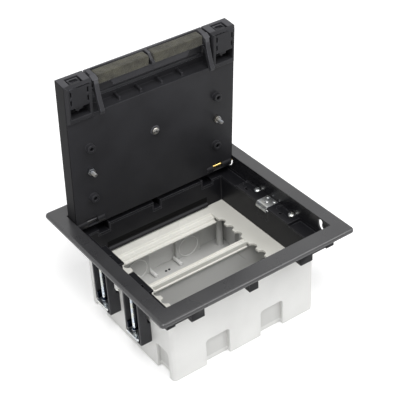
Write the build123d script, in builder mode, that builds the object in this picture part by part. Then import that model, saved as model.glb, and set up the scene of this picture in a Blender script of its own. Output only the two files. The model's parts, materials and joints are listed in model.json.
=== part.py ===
# Floor socket box with its lid open, in millimetres.
# The origin is the middle of the back box's underside, +Z is up and +Y points to the hinge.
# A depth is measured down from the top of the floor flange, which is level with the floor.

from build123d import *
from math import cos, degrees, atan2, hypot, radians, sin
import os

os.makedirs("parts", exist_ok=True)

# Overall sizes
overall_depth = 107.0
flange_width = 220.0
flange_length = 208.3
flange_thickness = 4.2
flange_corner_radius = 4.0
flange_edge_radius = 2.6

# Well that takes the closed lid
well_width = 189.4
well_length = 172.0
well_wall = 2.1
well_corner_radius = 1.0
ledge_depth = 17.2
ledge_thickness = 2.4
corner_ledge_depth = 21.0
corner_ledge_thickness = 1.9
corner_ledge_start = 42.0
corner_ledge_wall = 1.3
corner_tab_width = 9.3
corner_tab_projection = 1.7

# Pockets in the front and rear ledges for the arms and the finger of the cable flap
pocket_inner_x = 57.5
pocket_width = 11.5
pocket_depth = 25.6
pocket_wall = 1.4
pocket_floor = 2.5
pocket_reach = 2.0
finger_pocket_width = 7.6

# Side ledge with the claw screws, and the gap in its middle
side_ledge_overhang = 1.8
side_gap_width = 16.6
side_gap_reach = 9.5
claw_pad_thickness = 1.4
screw_x = 92.2
screw_recess_depth = 1.8
screw_recess_length = 15.0
screw_recess_width = 8.2
screw_recess_inset = 1.7
clip_hole_size = 4.0
clip_hole_offset = 8.0
clip_hole_x = 83.0

# Latch and hinge pin openings in the well walls
keeper_x = 79.9
keeper_width = 14.0
keeper_top_depth = 4.8
keeper_height = 9.2
pin_slot_clearance = 0.8
pin_slot_spare_angle = 3.0

# Liner between the ledge and the module frame
liner_wall = 1.5
liner_window_depth = 36.0
liner_lip_depth = 45.0
liner_lip_reach = 3.0
liner_lip_height = 5.0
liner_lip_length = 122.0
liner_blind_depth = 24.0
liner_blind_thickness = 1.1
nesting_gap = 0.2

# Back box
box_width = 169.0
box_length = 149.4
box_wall = 2.0
box_corner_radius = 4.0
box_floor_height = 5.5
box_floor_thickness = 2.5
knockout_x = 32.5
knockout_width = 27.5
knockout_top_depth = 75.5
knockout_setback = 4.8
knockout_corner_radius = 4.0
knockout_ring_radius = 12.4
knockout_ring_width = 0.9
knockout_ring_groove = 0.5
side_knockout_y = 57.0
side_knockout_width = 20.0
post_x = 69.6
post_y = 62.2
post_radius = 3.75
post_hole_radius = 1.4
post_hole_depth = 14.0
peg_x = 15.8
peg_radius = 1.75
peg_length = 10.5
lug_x = 87.6
lug_y = 10.4
lug_radius = 3.2
lug_height = 17.0
floor_mark_radius = 0.8
floor_mark_spacing = 4.0
floor_mark_y = 60.5

# Module frame with two windows of five modules each
module_pitch = 22.5
modules_per_row = 5
window_side_clearance = 1.35
row_depth = 44.7
divider_half_width = 4.3
module_frame_depth = 52.0
module_plate_thickness = 3.0
rail_step_height = 2.6
rail_step_width = 4.5
rail_lip_height = 2.8
rail_lip_width = 3.5
rail_flank = 1.0
rail_lip_thickness = 2.0
rail_ridge_half_width = 3.2
rail_groove_half_width = 1.2
rail_groove_depth = 1.4
rail_slot_half_width = 1.7
scallop_radius = 4.5
scallop_pitch = 14.0
divider_thickness = 3.0
divider_edge_gap = 0.2
divider_score_width = 0.8
divider_score_depth = 0.5
divider_score_top_x = 43.0
divider_score_foot_x = 56.0
divider_score_height = 16.5

# Earth bracket
bracket_thickness = 1.0
bracket_side_gap = 0.3
bracket_bend_radius = 3.0
bracket_lip_height = 5.8
bracket_nose = 0.8
bracket_seat_inset = 0.6
bracket_hole_radius = 1.65
bracket_hole_x = 85.8
rivet_radius = 1.0
rivet_head_radius = 1.9
rivet_head_height = 0.7
rivet_head_taper = 35.0
rivet_x = 91.9
rivet_y = 5.2

# Claw guides, screws and claws
guide_y = 27.4
guide_width = 26.3
guide_wall = 2.2
guide_back_wall = 1.4
guide_top_back_x = 87.7
guide_foot_depth = 78.7
guide_step_depth = 55.0
guide_floor_thickness = 1.6
claw_screw_offset = 4.4
claw_screw_radius = 2.0
claw_screw_head_radius = 3.8
claw_screw_head_height = 2.6
claw_screw_head_edge = 0.85
claw_screw_slot_length = 4.4
claw_screw_slot_width = 1.0
claw_screw_slot_depth = 1.2
claw_screw_slot_turn = 30.0
running_gap = 0.08
seat_gap = 0.2
claw_thickness = 1.8
claw_side_gap = 0.6
claw_rest_depth = 73.0
claw_projection = 2.2
claw_arm_height = 8.0
claw_lip_drop = 0.9
claw_corner_radius = 1.6
claw_boss_radius = 2.9
claw_boss_height = 3.4

# Screws that hold the back box to the frame
box_screw_radius = 1.5
box_screw_head_radius = 2.8
box_screw_head_height = 1.8
box_screw_boss_radius = 2.3
box_screw_grip = 5.0

# Lid, drawn flat: x across, v up the lid from the hinge axis, w down into the well from the top face
lid_open_angle = 85.65
lid_overtravel = 8.0
hinge_y = 78.4
hinge_depth = 6.63
lid_side_gap = 0.7
lid_front_gap = 0.53
lid_thickness = 16.0
lid_front_taper = 0.5
lid_heel = 3.63
lid_wall = 3.5
lid_plate = 2.8
lid_rib_thickness = 1.6
lid_rib_columns = 5
lid_rib_rows = 3
lid_cavity_start = 9.0

# Cover plate let into the top of the lid
cover_thickness = 2.5
cover_rim = 2.2
cover_gap = 0.15
cover_start = 4.0
cover_corner_radius = 1.5

# Hinge barrels and pins
pin_v = 1.57
pin_w = 13.5
pin_radius = 2.0
pin_end_chamfer = 0.5
barrel_radius = 4.0
barrel_inner_x = 62.0
barrel_outer_x = 93.0
barrel_window_inner_x = 70.0
barrel_window_outer_x = 81.5
pin_inner_x = 68.0
pin_wall_overlap = 1.6

# Corner blocks with the latches
block_inner_x = 65.8
block_outer_x = 93.2
block_length = 39.6
block_height = 3.0
block_draft = 25.0
latch_x = 80.0
latch_width = 11.0
latch_height = 7.6
latch_w = 9.0
latch_gap = 0.3
latch_setback = 0.9
latch_length = 31.0
latch_travel = 4.2
latch_nose = 1.5
latch_pocket_width = 7.4
latch_pocket_height = 4.2
latch_pocket_depth = 2.5
latch_port_width = 13.6
latch_port_height = 10.6
latch_port_depth = 3.6
latch_tail_width = 7.5
latch_tail_length = 3.2
latch_tail_gap = 1.3
latch_tail_height = 3.7
latch_peg_radius = 1.1
latch_peg_height = 1.6
latch_peg_gap = 2.2
latch_window_width = 20.0
latch_window_length = 11.2
latch_window_depth = 11.2
latch_cover_width = 19.0
latch_cover_length = 21.2
latch_cover_thickness = 1.4
latch_cover_margin = 2.0
latch_cover_notch = 1.6
latch_cover_notch_length = 5.8
latch_cover_notch_depth = 4.5
latch_cover_notch_pitch = 9.0

# Recess for the cable flap
recess_length = 37.3
recess_lip_length = 7.0
recess_lip_thickness = 2.6
recess_rib_x = 11.7
recess_rib_count = 4
recess_rib_thickness = 2.2
recess_rib_length = 3.6
recess_rib_top = 12.5

# Tubes, studs and screw on the underside of the lid
tube_x = 72.6
tube_radius = 4.4
tube_bore = 2.0
tube_height = 4.5
tube_upper_v = 90.4
tube_lower_v = 31.6
stud_x = 73.6
stud_v = 63.4
stud_radius = 2.0
stud_length = 10.0
nut_flats = 7.0
nut_height = 3.2
boss_radius = 5.0
centre_screw_v = 79.6
centre_screw_head_radius = 4.0
centre_screw_head_height = 2.4

# Cable flap
flap_half_width = 64.9
flap_skin = 2.7
flap_sink = 0.3
flap_heel_gap = 2.0
flap_tongue_length = 1.8
flap_tongue_thickness = 1.1
flap_pivot_setback = 12.3
flap_pivot_w = 14.0
flap_pin_radius = 1.5
flap_pin_inner_x = 60.0
flap_pin_seat = 2.2
flap_hub_radius = 3.4
arm_inner_x = 59.0
arm_outer_x = 63.5
arm_head_inner_x = 58.4
arm_head_outer_x = 64.7
arm_head_thickness = 1.3
finger_half_width = 1.5
foam_depth = 11.0
foam_length = 10.0
foam_edge = 0.7
foam_finger_gap = 1.0
foam_arm_gap = 1.0
shelf_wall = 1.2
shelf_half_width = 44.0
shelf_length = 6.8
shelf_slant = 3.0
foam_slack = 0.3

# Side profiles of the flap's finger and arms, from the front edge of the skin round to its back edge:
# distance back from the lid's front edge, then depth below the lid's top face
finger_profile = [
    (0.0, 9.6),
    (5.3, 14.4),
    (5.8, 17.9),
    (8.8, 17.9),
    (9.8, 15.2),
    (7.3, 12.8),
    (3.3, 8.0),
]
finger_foot = 3.3
arm_profile = [
    (0.3, 11.0),
    (2.8, 16.8),
    (12.3, 18.6),
    (22.3, 22.0),
    (31.8, 25.9),
    (35.0, 25.2),
    (35.2, 23.0),
    (28.8, 20.0),
    (20.3, 16.4),
    (12.3, 12.6),
    (5.3, 10.0),
]
arm_foot = 4.3


def level(depth):
    """Height of a depth below the floor."""
    return overall_depth - depth


def block(x_ends, y_ends, depths, mode=Mode.ADD):
    """Straight block between two x, two y and two depths."""
    with BuildSketch(Plane.XY.offset(level(max(depths)))) as outline:
        with Locations((sum(x_ends) / 2, sum(y_ends) / 2)):
            Rectangle(abs(x_ends[1] - x_ends[0]), abs(y_ends[1] - y_ends[0]))
    extrude(outline.sketch, amount=abs(depths[1] - depths[0]), mode=mode)


def rod(x, y, depths, radius, mode=Mode.ADD):
    """Upright cylinder between two depths."""
    with BuildSketch(Plane.XY.offset(level(max(depths)))) as outline:
        with Locations((x, y)):
            Circle(radius)
    extrude(outline.sketch, amount=abs(depths[1] - depths[0]), mode=mode)


# Values worked out from the driving sizes
box_floor_depth = overall_depth - box_floor_height
well_x = well_width / 2
well_y = well_length / 2
skirt_x = well_x + well_wall
skirt_y = well_y + well_wall
ledge_under = ledge_depth + ledge_thickness
corner_under = corner_ledge_depth + corner_ledge_thickness
pocket_under = pocket_depth + pocket_floor
pad_under = ledge_under + claw_pad_thickness
box_x = box_width / 2
box_y = box_length / 2
inside_x = box_x - box_wall
inside_y = box_y - box_wall
liner_x = inside_x - nesting_gap
liner_y = inside_y - nesting_gap
neck_x = liner_x - liner_wall
neck_y = liner_y - liner_wall
side_ledge_x = neck_x - side_ledge_overhang
pocket_outer_x = pocket_inner_x + pocket_width
screw_seat_depth = ledge_depth + screw_recess_depth
row_inner_y = divider_half_width
row_outer_y = divider_half_width + row_depth
window_x = module_pitch * modules_per_row / 2 + window_side_clearance
side_gap_x = side_ledge_x + side_gap_reach
guide_outer_x = skirt_x

# Path of the hinge pin about the hinge axis, from the lid thrown right back to the lid shut
shut_angle = degrees(atan2(hinge_depth - pin_w, -pin_v)) % 360
pin_path = CenterArc(
    (0, 0),
    hypot(pin_v, pin_w - hinge_depth),
    shut_angle - lid_open_angle - lid_overtravel - pin_slot_spare_angle,
    lid_open_angle + lid_overtravel + 2 * pin_slot_spare_angle,
)

# Lid planes: flat on the lid's top face, and across it for side profiles
lean = radians(lid_open_angle)
lid_plane = Plane(
    origin=(0, hinge_y + hinge_depth * sin(lean), level(hinge_depth) + hinge_depth * cos(lean)),
    x_dir=(1, 0, 0),
    z_dir=(0, -sin(lean), -cos(lean)),
)
lid_x = well_x - lid_side_gap
lid_front = hinge_y + well_y - lid_front_gap
lid_under = lid_thickness - lid_plate


def side_plane(x):
    """Plane across the lid at x, whose axes are v and w."""
    return Plane(origin=lid_plane.origin + Vector(x, 0, 0), x_dir=lid_plane.y_dir, z_dir=(1, 0, 0))


def lid_block(x_ends, v_ends, w_ends, mode=Mode.ADD):
    """Straight block in lid axes."""
    with BuildSketch(lid_plane.offset(min(w_ends))) as outline:
        with Locations((sum(x_ends) / 2, sum(v_ends) / 2)):
            Rectangle(abs(x_ends[1] - x_ends[0]), abs(v_ends[1] - v_ends[0]))
    extrude(outline.sketch, amount=abs(w_ends[1] - w_ends[0]), mode=mode)


def lid_rod(x, v, w_ends, radius, mode=Mode.ADD):
    """Cylinder that stands on the lid."""
    with BuildSketch(lid_plane.offset(min(w_ends))) as outline:
        with Locations((x, v)):
            Circle(radius)
    extrude(outline.sketch, amount=abs(w_ends[1] - w_ends[0]), mode=mode)


def cross_rod(x_ends, v, w, radius, mode=Mode.ADD):
    """Cylinder that lies along x in the lid."""
    with BuildSketch(side_plane(min(x_ends))) as outline:
        with Locations((v, w)):
            Circle(radius)
    extrude(outline.sketch, amount=abs(x_ends[1] - x_ends[0]), mode=mode)


# Moulding of the floor frame, drawn whole: flange, well, ledges and pockets
with BuildPart() as moulding:
    with BuildSketch(Plane.XY.offset(level(flange_thickness))):
        RectangleRounded(flange_width, flange_length, flange_corner_radius)
    extrude(amount=flange_thickness)
    fillet(moulding.faces().sort_by(Axis.Z)[-1].edges(), flange_edge_radius)
    block((-skirt_x, skirt_x), (-skirt_y, skirt_y), (flange_thickness, ledge_under))
    for x_side in (-1, 1):
        for y_side in (-1, 1):
            block(
                (x_side * (pocket_outer_x - pocket_wall), x_side * skirt_x),
                (y_side * (corner_ledge_start - corner_ledge_wall), y_side * skirt_y),
                (ledge_under, corner_under),
            )
            block(
                (x_side * (skirt_x - corner_tab_width), x_side * skirt_x),
                (y_side * well_y, y_side * (skirt_y + corner_tab_projection)),
                (flange_thickness, corner_under),
            )
            block(
                (x_side * (pocket_inner_x - pocket_wall), x_side * (pocket_outer_x + pocket_wall)),
                (y_side * neck_y, y_side * (skirt_y + corner_tab_projection)),
                (flange_thickness, pocket_under),
            )
            block(
                (x_side * box_x, x_side * skirt_x),
                (y_side * (guide_y - guide_width / 2), y_side * (guide_y + guide_width / 2)),
                (ledge_depth, pad_under),
            )
    for y_side in (-1, 1):
        block(
            (-finger_pocket_width / 2 - pocket_wall, finger_pocket_width / 2 + pocket_wall),
            (y_side * neck_y, y_side * (skirt_y + corner_tab_projection)),
            (flange_thickness, pocket_under),
        )
    # The well, the opening below it and the lower corners
    with BuildSketch(Plane.XY.offset(level(ledge_depth))):
        RectangleRounded(well_width, well_length, well_corner_radius)
    extrude(amount=ledge_depth, mode=Mode.SUBTRACT)
    block((-neck_x, neck_x), (-neck_y, neck_y), (0, pocket_under), mode=Mode.SUBTRACT)
    for x_side in (-1, 1):
        for y_side in (-1, 1):
            block(
                (x_side * pocket_inner_x, x_side * well_x),
                (y_side * corner_ledge_start, y_side * well_y),
                (0, corner_ledge_depth),
                mode=Mode.SUBTRACT,
            )
            block(
                (x_side * pocket_inner_x, x_side * pocket_outer_x),
                (y_side * neck_y, y_side * (well_y + pocket_reach)),
                (ledge_depth, pocket_depth),
                mode=Mode.SUBTRACT,
            )
    for y_side in (-1, 1):
        block(
            (-finger_pocket_width / 2, finger_pocket_width / 2),
            (y_side * neck_y, y_side * (well_y + pocket_reach)),
            (ledge_depth, pocket_depth),
            mode=Mode.SUBTRACT,
        )
    # Side ledges stand a little over the opening, with a gap in the middle of each
    for x_side in (-1, 1):
        block(
            (x_side * side_ledge_x, x_side * liner_x),
            (-corner_ledge_start, corner_ledge_start),
            (ledge_depth, ledge_under),
        )
        block(
            (x_side * side_ledge_x, x_side * side_gap_x),
            (-side_gap_width / 2, side_gap_width / 2),
            (ledge_depth, pad_under),
            mode=Mode.SUBTRACT,
        )
        for y_side in (-1, 1):
            rod(x_side * lug_x, y_side * lug_y, (ledge_under, pocket_under), box_screw_boss_radius)
            rod(
                x_side * lug_x,
                y_side * lug_y,
                (pocket_under - box_screw_grip, pocket_under),
                box_screw_radius,
                mode=Mode.SUBTRACT,
            )
    # Claw screw recesses: a round-ended slot, a hole and a hollow in the wall for the head
    for x_side in (-1, 1):
        for y_side in (-1, 1):
            screw_y = y_side * guide_y - x_side * claw_screw_offset
            with BuildSketch(Plane.XY.offset(level(screw_seat_depth))):
                recess_y = screw_y + x_side * screw_recess_length / 2
                with Locations((x_side * (screw_x - screw_recess_inset), recess_y)):
                    SlotCenterToCenter(screw_recess_length, screw_recess_width, rotation=90)
            extrude(amount=screw_recess_depth, mode=Mode.SUBTRACT)
            rod(
                x_side * screw_x,
                screw_y,
                (ledge_depth - screw_recess_depth, screw_seat_depth),
                claw_screw_head_radius + seat_gap,
                mode=Mode.SUBTRACT,
            )
            rod(
                x_side * screw_x,
                screw_y,
                (ledge_depth, pad_under),
                claw_screw_radius + running_gap,
                mode=Mode.SUBTRACT,
            )
            block(
                (x_side * clip_hole_x, x_side * (clip_hole_x + clip_hole_size)),
                (
                    screw_y + x_side * (clip_hole_offset - clip_hole_size / 2),
                    screw_y + x_side * (clip_hole_offset + clip_hole_size / 2),
                ),
                (ledge_depth, pad_under),
                mode=Mode.SUBTRACT,
            )
    # Seat of the earth bracket in the right ledge
    block(
        (side_gap_x, well_x - bracket_seat_inset / 2),
        (-side_gap_width / 2, side_gap_width / 2),
        (ledge_depth, ledge_depth + bracket_thickness),
        mode=Mode.SUBTRACT,
    )
    for y_side in (-1, 1):
        rod(rivet_x, y_side * rivet_y, (ledge_depth, ledge_under), rivet_radius, mode=Mode.SUBTRACT)
    # Latch keepers through the front and rear walls
    for x_side in (-1, 1):
        for y_side in (-1, 1):
            block(
                (x_side * (keeper_x - keeper_width / 2), x_side * (keeper_x + keeper_width / 2)),
                (y_side * well_y, y_side * skirt_y),
                (keeper_top_depth, keeper_top_depth + keeper_height),
                mode=Mode.SUBTRACT,
            )
    # Curved slots for the hinge pins, with twins at the front so that the lid fits either way round
    for y_side in (-1, 1):
        slot_plane = Plane(
            origin=(-skirt_x, y_side * hinge_y, level(hinge_depth)),
            x_dir=(0, y_side, 0),
            z_dir=(y_side, 0, 0),
        )
        with BuildSketch(slot_plane) as pin_slot:
            SlotArc(arc=pin_path, height=2 * (pin_radius + pin_slot_clearance))
        extrude(pin_slot.sketch, amount=y_side * 2 * skirt_x, mode=Mode.SUBTRACT)

# The moulding as simple lengths: the flange with the well walls, then the ledges below the walls
place_names = {
    (-1, -1): "left_front",
    (-1, 1): "left_rear",
    (1, -1): "right_front",
    (1, 1): "right_rear",
}
outer_x = flange_width / 2
outer_y = flange_length / 2
ledge_depths = (ledge_depth, pocket_under)
front_ledge_x = pocket_inner_x - pocket_wall
with BuildPart() as floor_frame:
    add(moulding.part)
    block((-outer_x, outer_x), (-outer_y, outer_y), (0, ledge_depth), mode=Mode.INTERSECT)
floor_frame.part.label = "floor_frame"
export_step(floor_frame.part, "parts/floor_frame.step")

for side, name in ((-1, "left"), (1, "right")):
    with BuildPart() as side_ledge:
        add(moulding.part)
        block(
            (side * side_ledge_x, side * outer_x),
            (-corner_ledge_start, corner_ledge_start),
            ledge_depths,
            mode=Mode.INTERSECT,
        )
    side_ledge.part.label = "side_ledge_" + name
    export_step(side_ledge.part, "parts/side_ledge_" + name + ".step")

for side, name in ((-1, "front"), (1, "rear")):
    with BuildPart() as end_ledge:
        add(moulding.part)
        block(
            (-front_ledge_x, front_ledge_x),
            (side * neck_y, side * outer_y),
            ledge_depths,
            mode=Mode.INTERSECT,
        )
    end_ledge.part.label = name + "_ledge"
    export_step(end_ledge.part, "parts/" + name + "_ledge.step")

for (x_side, y_side), place in place_names.items():
    with BuildPart() as corner_ledge:
        add(moulding.part)
        block(
            (x_side * front_ledge_x, x_side * outer_x),
            (y_side * corner_ledge_start, y_side * outer_y),
            ledge_depths,
            mode=Mode.INTERSECT,
        )
    corner_ledge.part.label = "corner_ledge_" + place
    export_step(corner_ledge.part, "parts/corner_ledge_" + place + ".step")

# Liner: thin skirt from the ledges down to the module frame
with BuildPart() as frame_liner:
    with BuildSketch(Plane.XY.offset(level(module_frame_depth))):
        RectangleRounded(2 * liner_x, 2 * liner_y, box_corner_radius - box_wall)
        RectangleRounded(2 * neck_x, 2 * neck_y, well_corner_radius, mode=Mode.SUBTRACT)
    extrude(amount=module_frame_depth - ledge_under)
    for x_side in (-1, 1):
        for y_side in (-1, 1):
            block(
                (x_side * (pocket_inner_x - pocket_wall), x_side * (pocket_outer_x + pocket_wall)),
                (y_side * neck_y, y_side * liner_y),
                (ledge_under, pocket_under),
                mode=Mode.SUBTRACT,
            )
            block(
                (x_side * (pocket_outer_x - pocket_wall), x_side * liner_x),
                (y_side * (corner_ledge_start - corner_ledge_wall), y_side * liner_y),
                (ledge_under, corner_under),
                mode=Mode.SUBTRACT,
            )
        block(
            (x_side * neck_x, x_side * liner_x),
            (-side_gap_width / 2, side_gap_width / 2),
            (ledge_under, liner_window_depth),
            mode=Mode.SUBTRACT,
        )
    for y_side in (-1, 1):
        block(
            (-finger_pocket_width / 2 - pocket_wall, finger_pocket_width / 2 + pocket_wall),
            (y_side * neck_y, y_side * liner_y),
            (ledge_under, pocket_under),
            mode=Mode.SUBTRACT,
        )
        # Sloping lip near the foot
        lip_plane = Plane(
            origin=(-y_side * liner_lip_length / 2, y_side * neck_y, level(liner_lip_depth)),
            x_dir=(0, -y_side, 0),
            z_dir=(y_side, 0, 0),
        )
        with BuildSketch(lip_plane) as lip_profile:
            with BuildLine():
                Polyline(
                    (0, 0),
                    (liner_lip_reach, liner_lip_height / 2),
                    (liner_lip_reach, liner_lip_height),
                    (0, liner_lip_height),
                    close=True,
                )
            make_face()
        extrude(lip_profile.sketch, amount=liner_lip_length)
frame_liner.part.label = "frame_liner"
export_step(frame_liner.part, "parts/frame_liner.step")

# Blinds that close the lower part of the liner's side windows
for side, name in ((-1, "left"), (1, "right")):
    with BuildPart() as liner_blind:
        block(
            (side * (liner_x - nesting_gap - liner_blind_thickness), side * (liner_x - nesting_gap)),
            (-side_gap_width / 2 + nesting_gap, side_gap_width / 2 - nesting_gap),
            (liner_blind_depth, liner_window_depth - nesting_gap),
        )
    liner_blind.part.label = "liner_blind_" + name
    export_step(liner_blind.part, "parts/liner_blind_" + name + ".step")

# Back box: thin walls, raised floor, knock-out recesses, posts and lugs
with BuildPart() as back_box:
    with BuildSketch(Plane.XY):
        RectangleRounded(box_width, box_length, box_corner_radius)
    extrude(amount=level(pocket_under))
    with BuildSketch(Plane.XY.offset(level(box_floor_depth))):
        RectangleRounded(2 * inside_x, 2 * inside_y, box_corner_radius - box_wall)
    extrude(amount=box_floor_depth - pocket_under, mode=Mode.SUBTRACT)
    with BuildSketch(Plane.XY):
        RectangleRounded(2 * inside_x, 2 * inside_y, box_corner_radius - box_wall)
    extrude(amount=level(box_floor_depth + box_floor_thickness), mode=Mode.SUBTRACT)
    # Each knock-out recess is a shallow arch in the wall, with a scored ring on its inner face
    recess_places = []
    for side in (-1, 1):
        for place in (-knockout_x, knockout_x):
            recess_places.append(((place, side * box_y), (0, side, 0), knockout_width))
        for place in (-side_knockout_y, side_knockout_y):
            recess_places.append(((side * box_x, place), (side, 0, 0), side_knockout_width))
    arch_height = level(knockout_top_depth)
    for centre, outward, width in recess_places:
        across = Vector(0, 0, 1).cross(Vector(*outward))
        face_plane = Plane(origin=(*centre, 0), x_dir=across, z_dir=outward)
        with BuildSketch(face_plane.offset(-box_wall - knockout_setback)) as hump:
            with Locations((0, arch_height / 2 + box_wall / 2)):
                RectangleRounded(
                    width + 2 * box_wall, arch_height + box_wall, knockout_corner_radius + box_wall
                )
            with Locations((0, arch_height / 4)):
                Rectangle(width + 2 * box_wall, arch_height / 2)
        extrude(hump.sketch, amount=knockout_setback + box_wall / 2)
        with BuildSketch(face_plane.offset(-knockout_setback)) as hollow:
            with Locations((0, arch_height / 2)):
                RectangleRounded(width, arch_height, knockout_corner_radius)
            with Locations((0, arch_height / 4)):
                Rectangle(width, arch_height / 2)
        extrude(hollow.sketch, amount=knockout_setback, mode=Mode.SUBTRACT)
        if width == knockout_width:
            ring_plane = face_plane.offset(-box_wall - knockout_setback)
            with BuildSketch(ring_plane) as ring:
                with Locations((0, arch_height - knockout_width / 2)):
                    Circle(knockout_ring_radius)
                    Circle(knockout_ring_radius - knockout_ring_width, mode=Mode.SUBTRACT)
            extrude(ring.sketch, amount=knockout_ring_groove, mode=Mode.SUBTRACT)
    for x_side in (-1, 1):
        for y_side in (-1, 1):
            rod(
                x_side * post_x,
                y_side * post_y,
                (module_frame_depth + module_plate_thickness, box_floor_depth + box_floor_thickness / 2),
                post_radius,
            )
            rod(
                x_side * post_x,
                y_side * post_y,
                (
                    module_frame_depth + module_plate_thickness,
                    module_frame_depth + module_plate_thickness + post_hole_depth,
                ),
                post_hole_radius,
                mode=Mode.SUBTRACT,
            )
            rod(x_side * lug_x, y_side * lug_y, (pocket_under, pocket_under + lug_height), lug_radius)
            block(
                (x_side * (box_x - box_wall / 2), x_side * lug_x),
                (y_side * lug_y - lug_radius, y_side * lug_y + lug_radius),
                (pocket_under, pocket_under + lug_height),
            )
            rod(
                x_side * lug_x,
                y_side * lug_y,
                (pocket_under, pocket_under + lug_height),
                box_screw_radius,
                mode=Mode.SUBTRACT,
            )
    # Cable pegs at the foot of the rear wall and two drain marks in the floor
    for x_side in (-1, 1):
        peg_plane = Plane(
            origin=(x_side * peg_x, inside_y + box_wall / 2, level(box_floor_depth) + peg_radius),
            x_dir=(1, 0, 0),
            z_dir=(0, -1, 0),
        )
        with BuildSketch(peg_plane) as peg:
            Circle(peg_radius)
        extrude(peg.sketch, amount=peg_length + box_wall / 2)
        rod(
            x_side * floor_mark_spacing / 2,
            floor_mark_y,
            (box_floor_depth, box_floor_depth + box_floor_thickness),
            floor_mark_radius,
            mode=Mode.SUBTRACT,
        )
back_box.part.label = "back_box"
export_step(back_box.part, "parts/back_box.step")

# Module frame: flat margins, stepped rails along the windows and a ridge between the rows
plate_under = module_frame_depth + module_plate_thickness
step_depth = module_frame_depth + rail_step_height
lip_depth = step_depth + rail_lip_height
lip_under = lip_depth + rail_lip_thickness
rail_lip_y = row_outer_y + rail_lip_width
rail_step_y = rail_lip_y + rail_flank + rail_step_width
rail_top_y = rail_step_y + rail_flank
row_middle_y = (row_inner_y + row_outer_y) / 2
with BuildPart() as module_frame:
    with BuildSketch(Plane.XY.offset(level(plate_under))):
        RectangleRounded(2 * liner_x, 2 * liner_y, box_corner_radius - box_wall)
        Rectangle(2 * window_x, 2 * rail_top_y, mode=Mode.SUBTRACT)
        for y_side in (-1, 1):
            with Locations((0, y_side * row_middle_y)):
                with GridLocations(2 * window_x, scallop_pitch, 2, 3):
                    Circle(scallop_radius, mode=Mode.SUBTRACT)
    extrude(amount=module_plate_thickness)
    rail_plane = Plane(origin=(-window_x, 0, level(module_frame_depth)), x_dir=(0, 1, 0), z_dir=(1, 0, 0))
    for y_side in (-1, 1):
        with BuildSketch(rail_plane) as rail:
            with BuildLine():
                Polyline(
                    (y_side * (rail_top_y + rail_flank), 0),
                    (y_side * rail_top_y, 0),
                    (y_side * rail_step_y, -rail_step_height),
                    (y_side * (rail_lip_y + rail_flank), -rail_step_height),
                    (y_side * rail_lip_y, module_frame_depth - lip_depth),
                    (y_side * row_outer_y, module_frame_depth - lip_depth),
                    (y_side * row_outer_y, module_frame_depth - lip_under),
                    (y_side * (rail_lip_y + rail_flank), module_frame_depth - lip_under),
                    (y_side * (rail_top_y + rail_flank), -module_plate_thickness),
                    close=True,
                )
            make_face()
        extrude(rail.sketch, amount=2 * window_x)
    with BuildSketch(rail_plane) as ridge:
        with BuildLine():
            Polyline(
                (-row_inner_y, module_frame_depth - lip_under),
                (-row_inner_y, module_frame_depth - lip_depth),
                (-rail_ridge_half_width, module_frame_depth - lip_depth),
                (-rail_ridge_half_width, 0),
                (-rail_groove_half_width, 0),
                (-rail_groove_half_width, -rail_groove_depth),
                (rail_groove_half_width, -rail_groove_depth),
                (rail_groove_half_width, 0),
                (rail_ridge_half_width, 0),
                (rail_ridge_half_width, module_frame_depth - lip_depth),
                (row_inner_y, module_frame_depth - lip_depth),
                (row_inner_y, module_frame_depth - lip_under),
                (rail_slot_half_width, module_frame_depth - lip_under),
                (rail_slot_half_width, -module_plate_thickness),
                (-rail_slot_half_width, -module_plate_thickness),
                (-rail_slot_half_width, module_frame_depth - lip_under),
                close=True,
            )
        make_face()
    extrude(ridge.sketch, amount=2 * window_x)
module_frame.part.label = "module_frame"
export_step(module_frame.part, "parts/module_frame.step")

# Row divider: a wall from the floor up into the ridge, with a scored corner to break out
with BuildPart() as row_divider:
    block(
        (-inside_x + divider_edge_gap, inside_x - divider_edge_gap),
        (-divider_thickness / 2, divider_thickness / 2),
        (plate_under + divider_edge_gap, box_floor_depth),
    )
    divider_face = Plane(origin=(0, -divider_thickness / 2, 0), x_dir=(1, 0, 0), z_dir=(0, -1, 0))
    with BuildSketch(divider_face) as score:
        with BuildLine():
            Polyline(
                (divider_score_top_x, level(lip_under)),
                (divider_score_top_x + divider_score_width, level(lip_under)),
                (divider_score_foot_x + divider_score_width, level(lip_under + divider_score_height)),
                (divider_score_foot_x, level(lip_under + divider_score_height)),
                close=True,
            )
        make_face()
    extrude(score.sketch, amount=-divider_score_depth, mode=Mode.SUBTRACT)
row_divider.part.label = "row_divider"
export_step(row_divider.part, "parts/row_divider.step")

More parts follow.
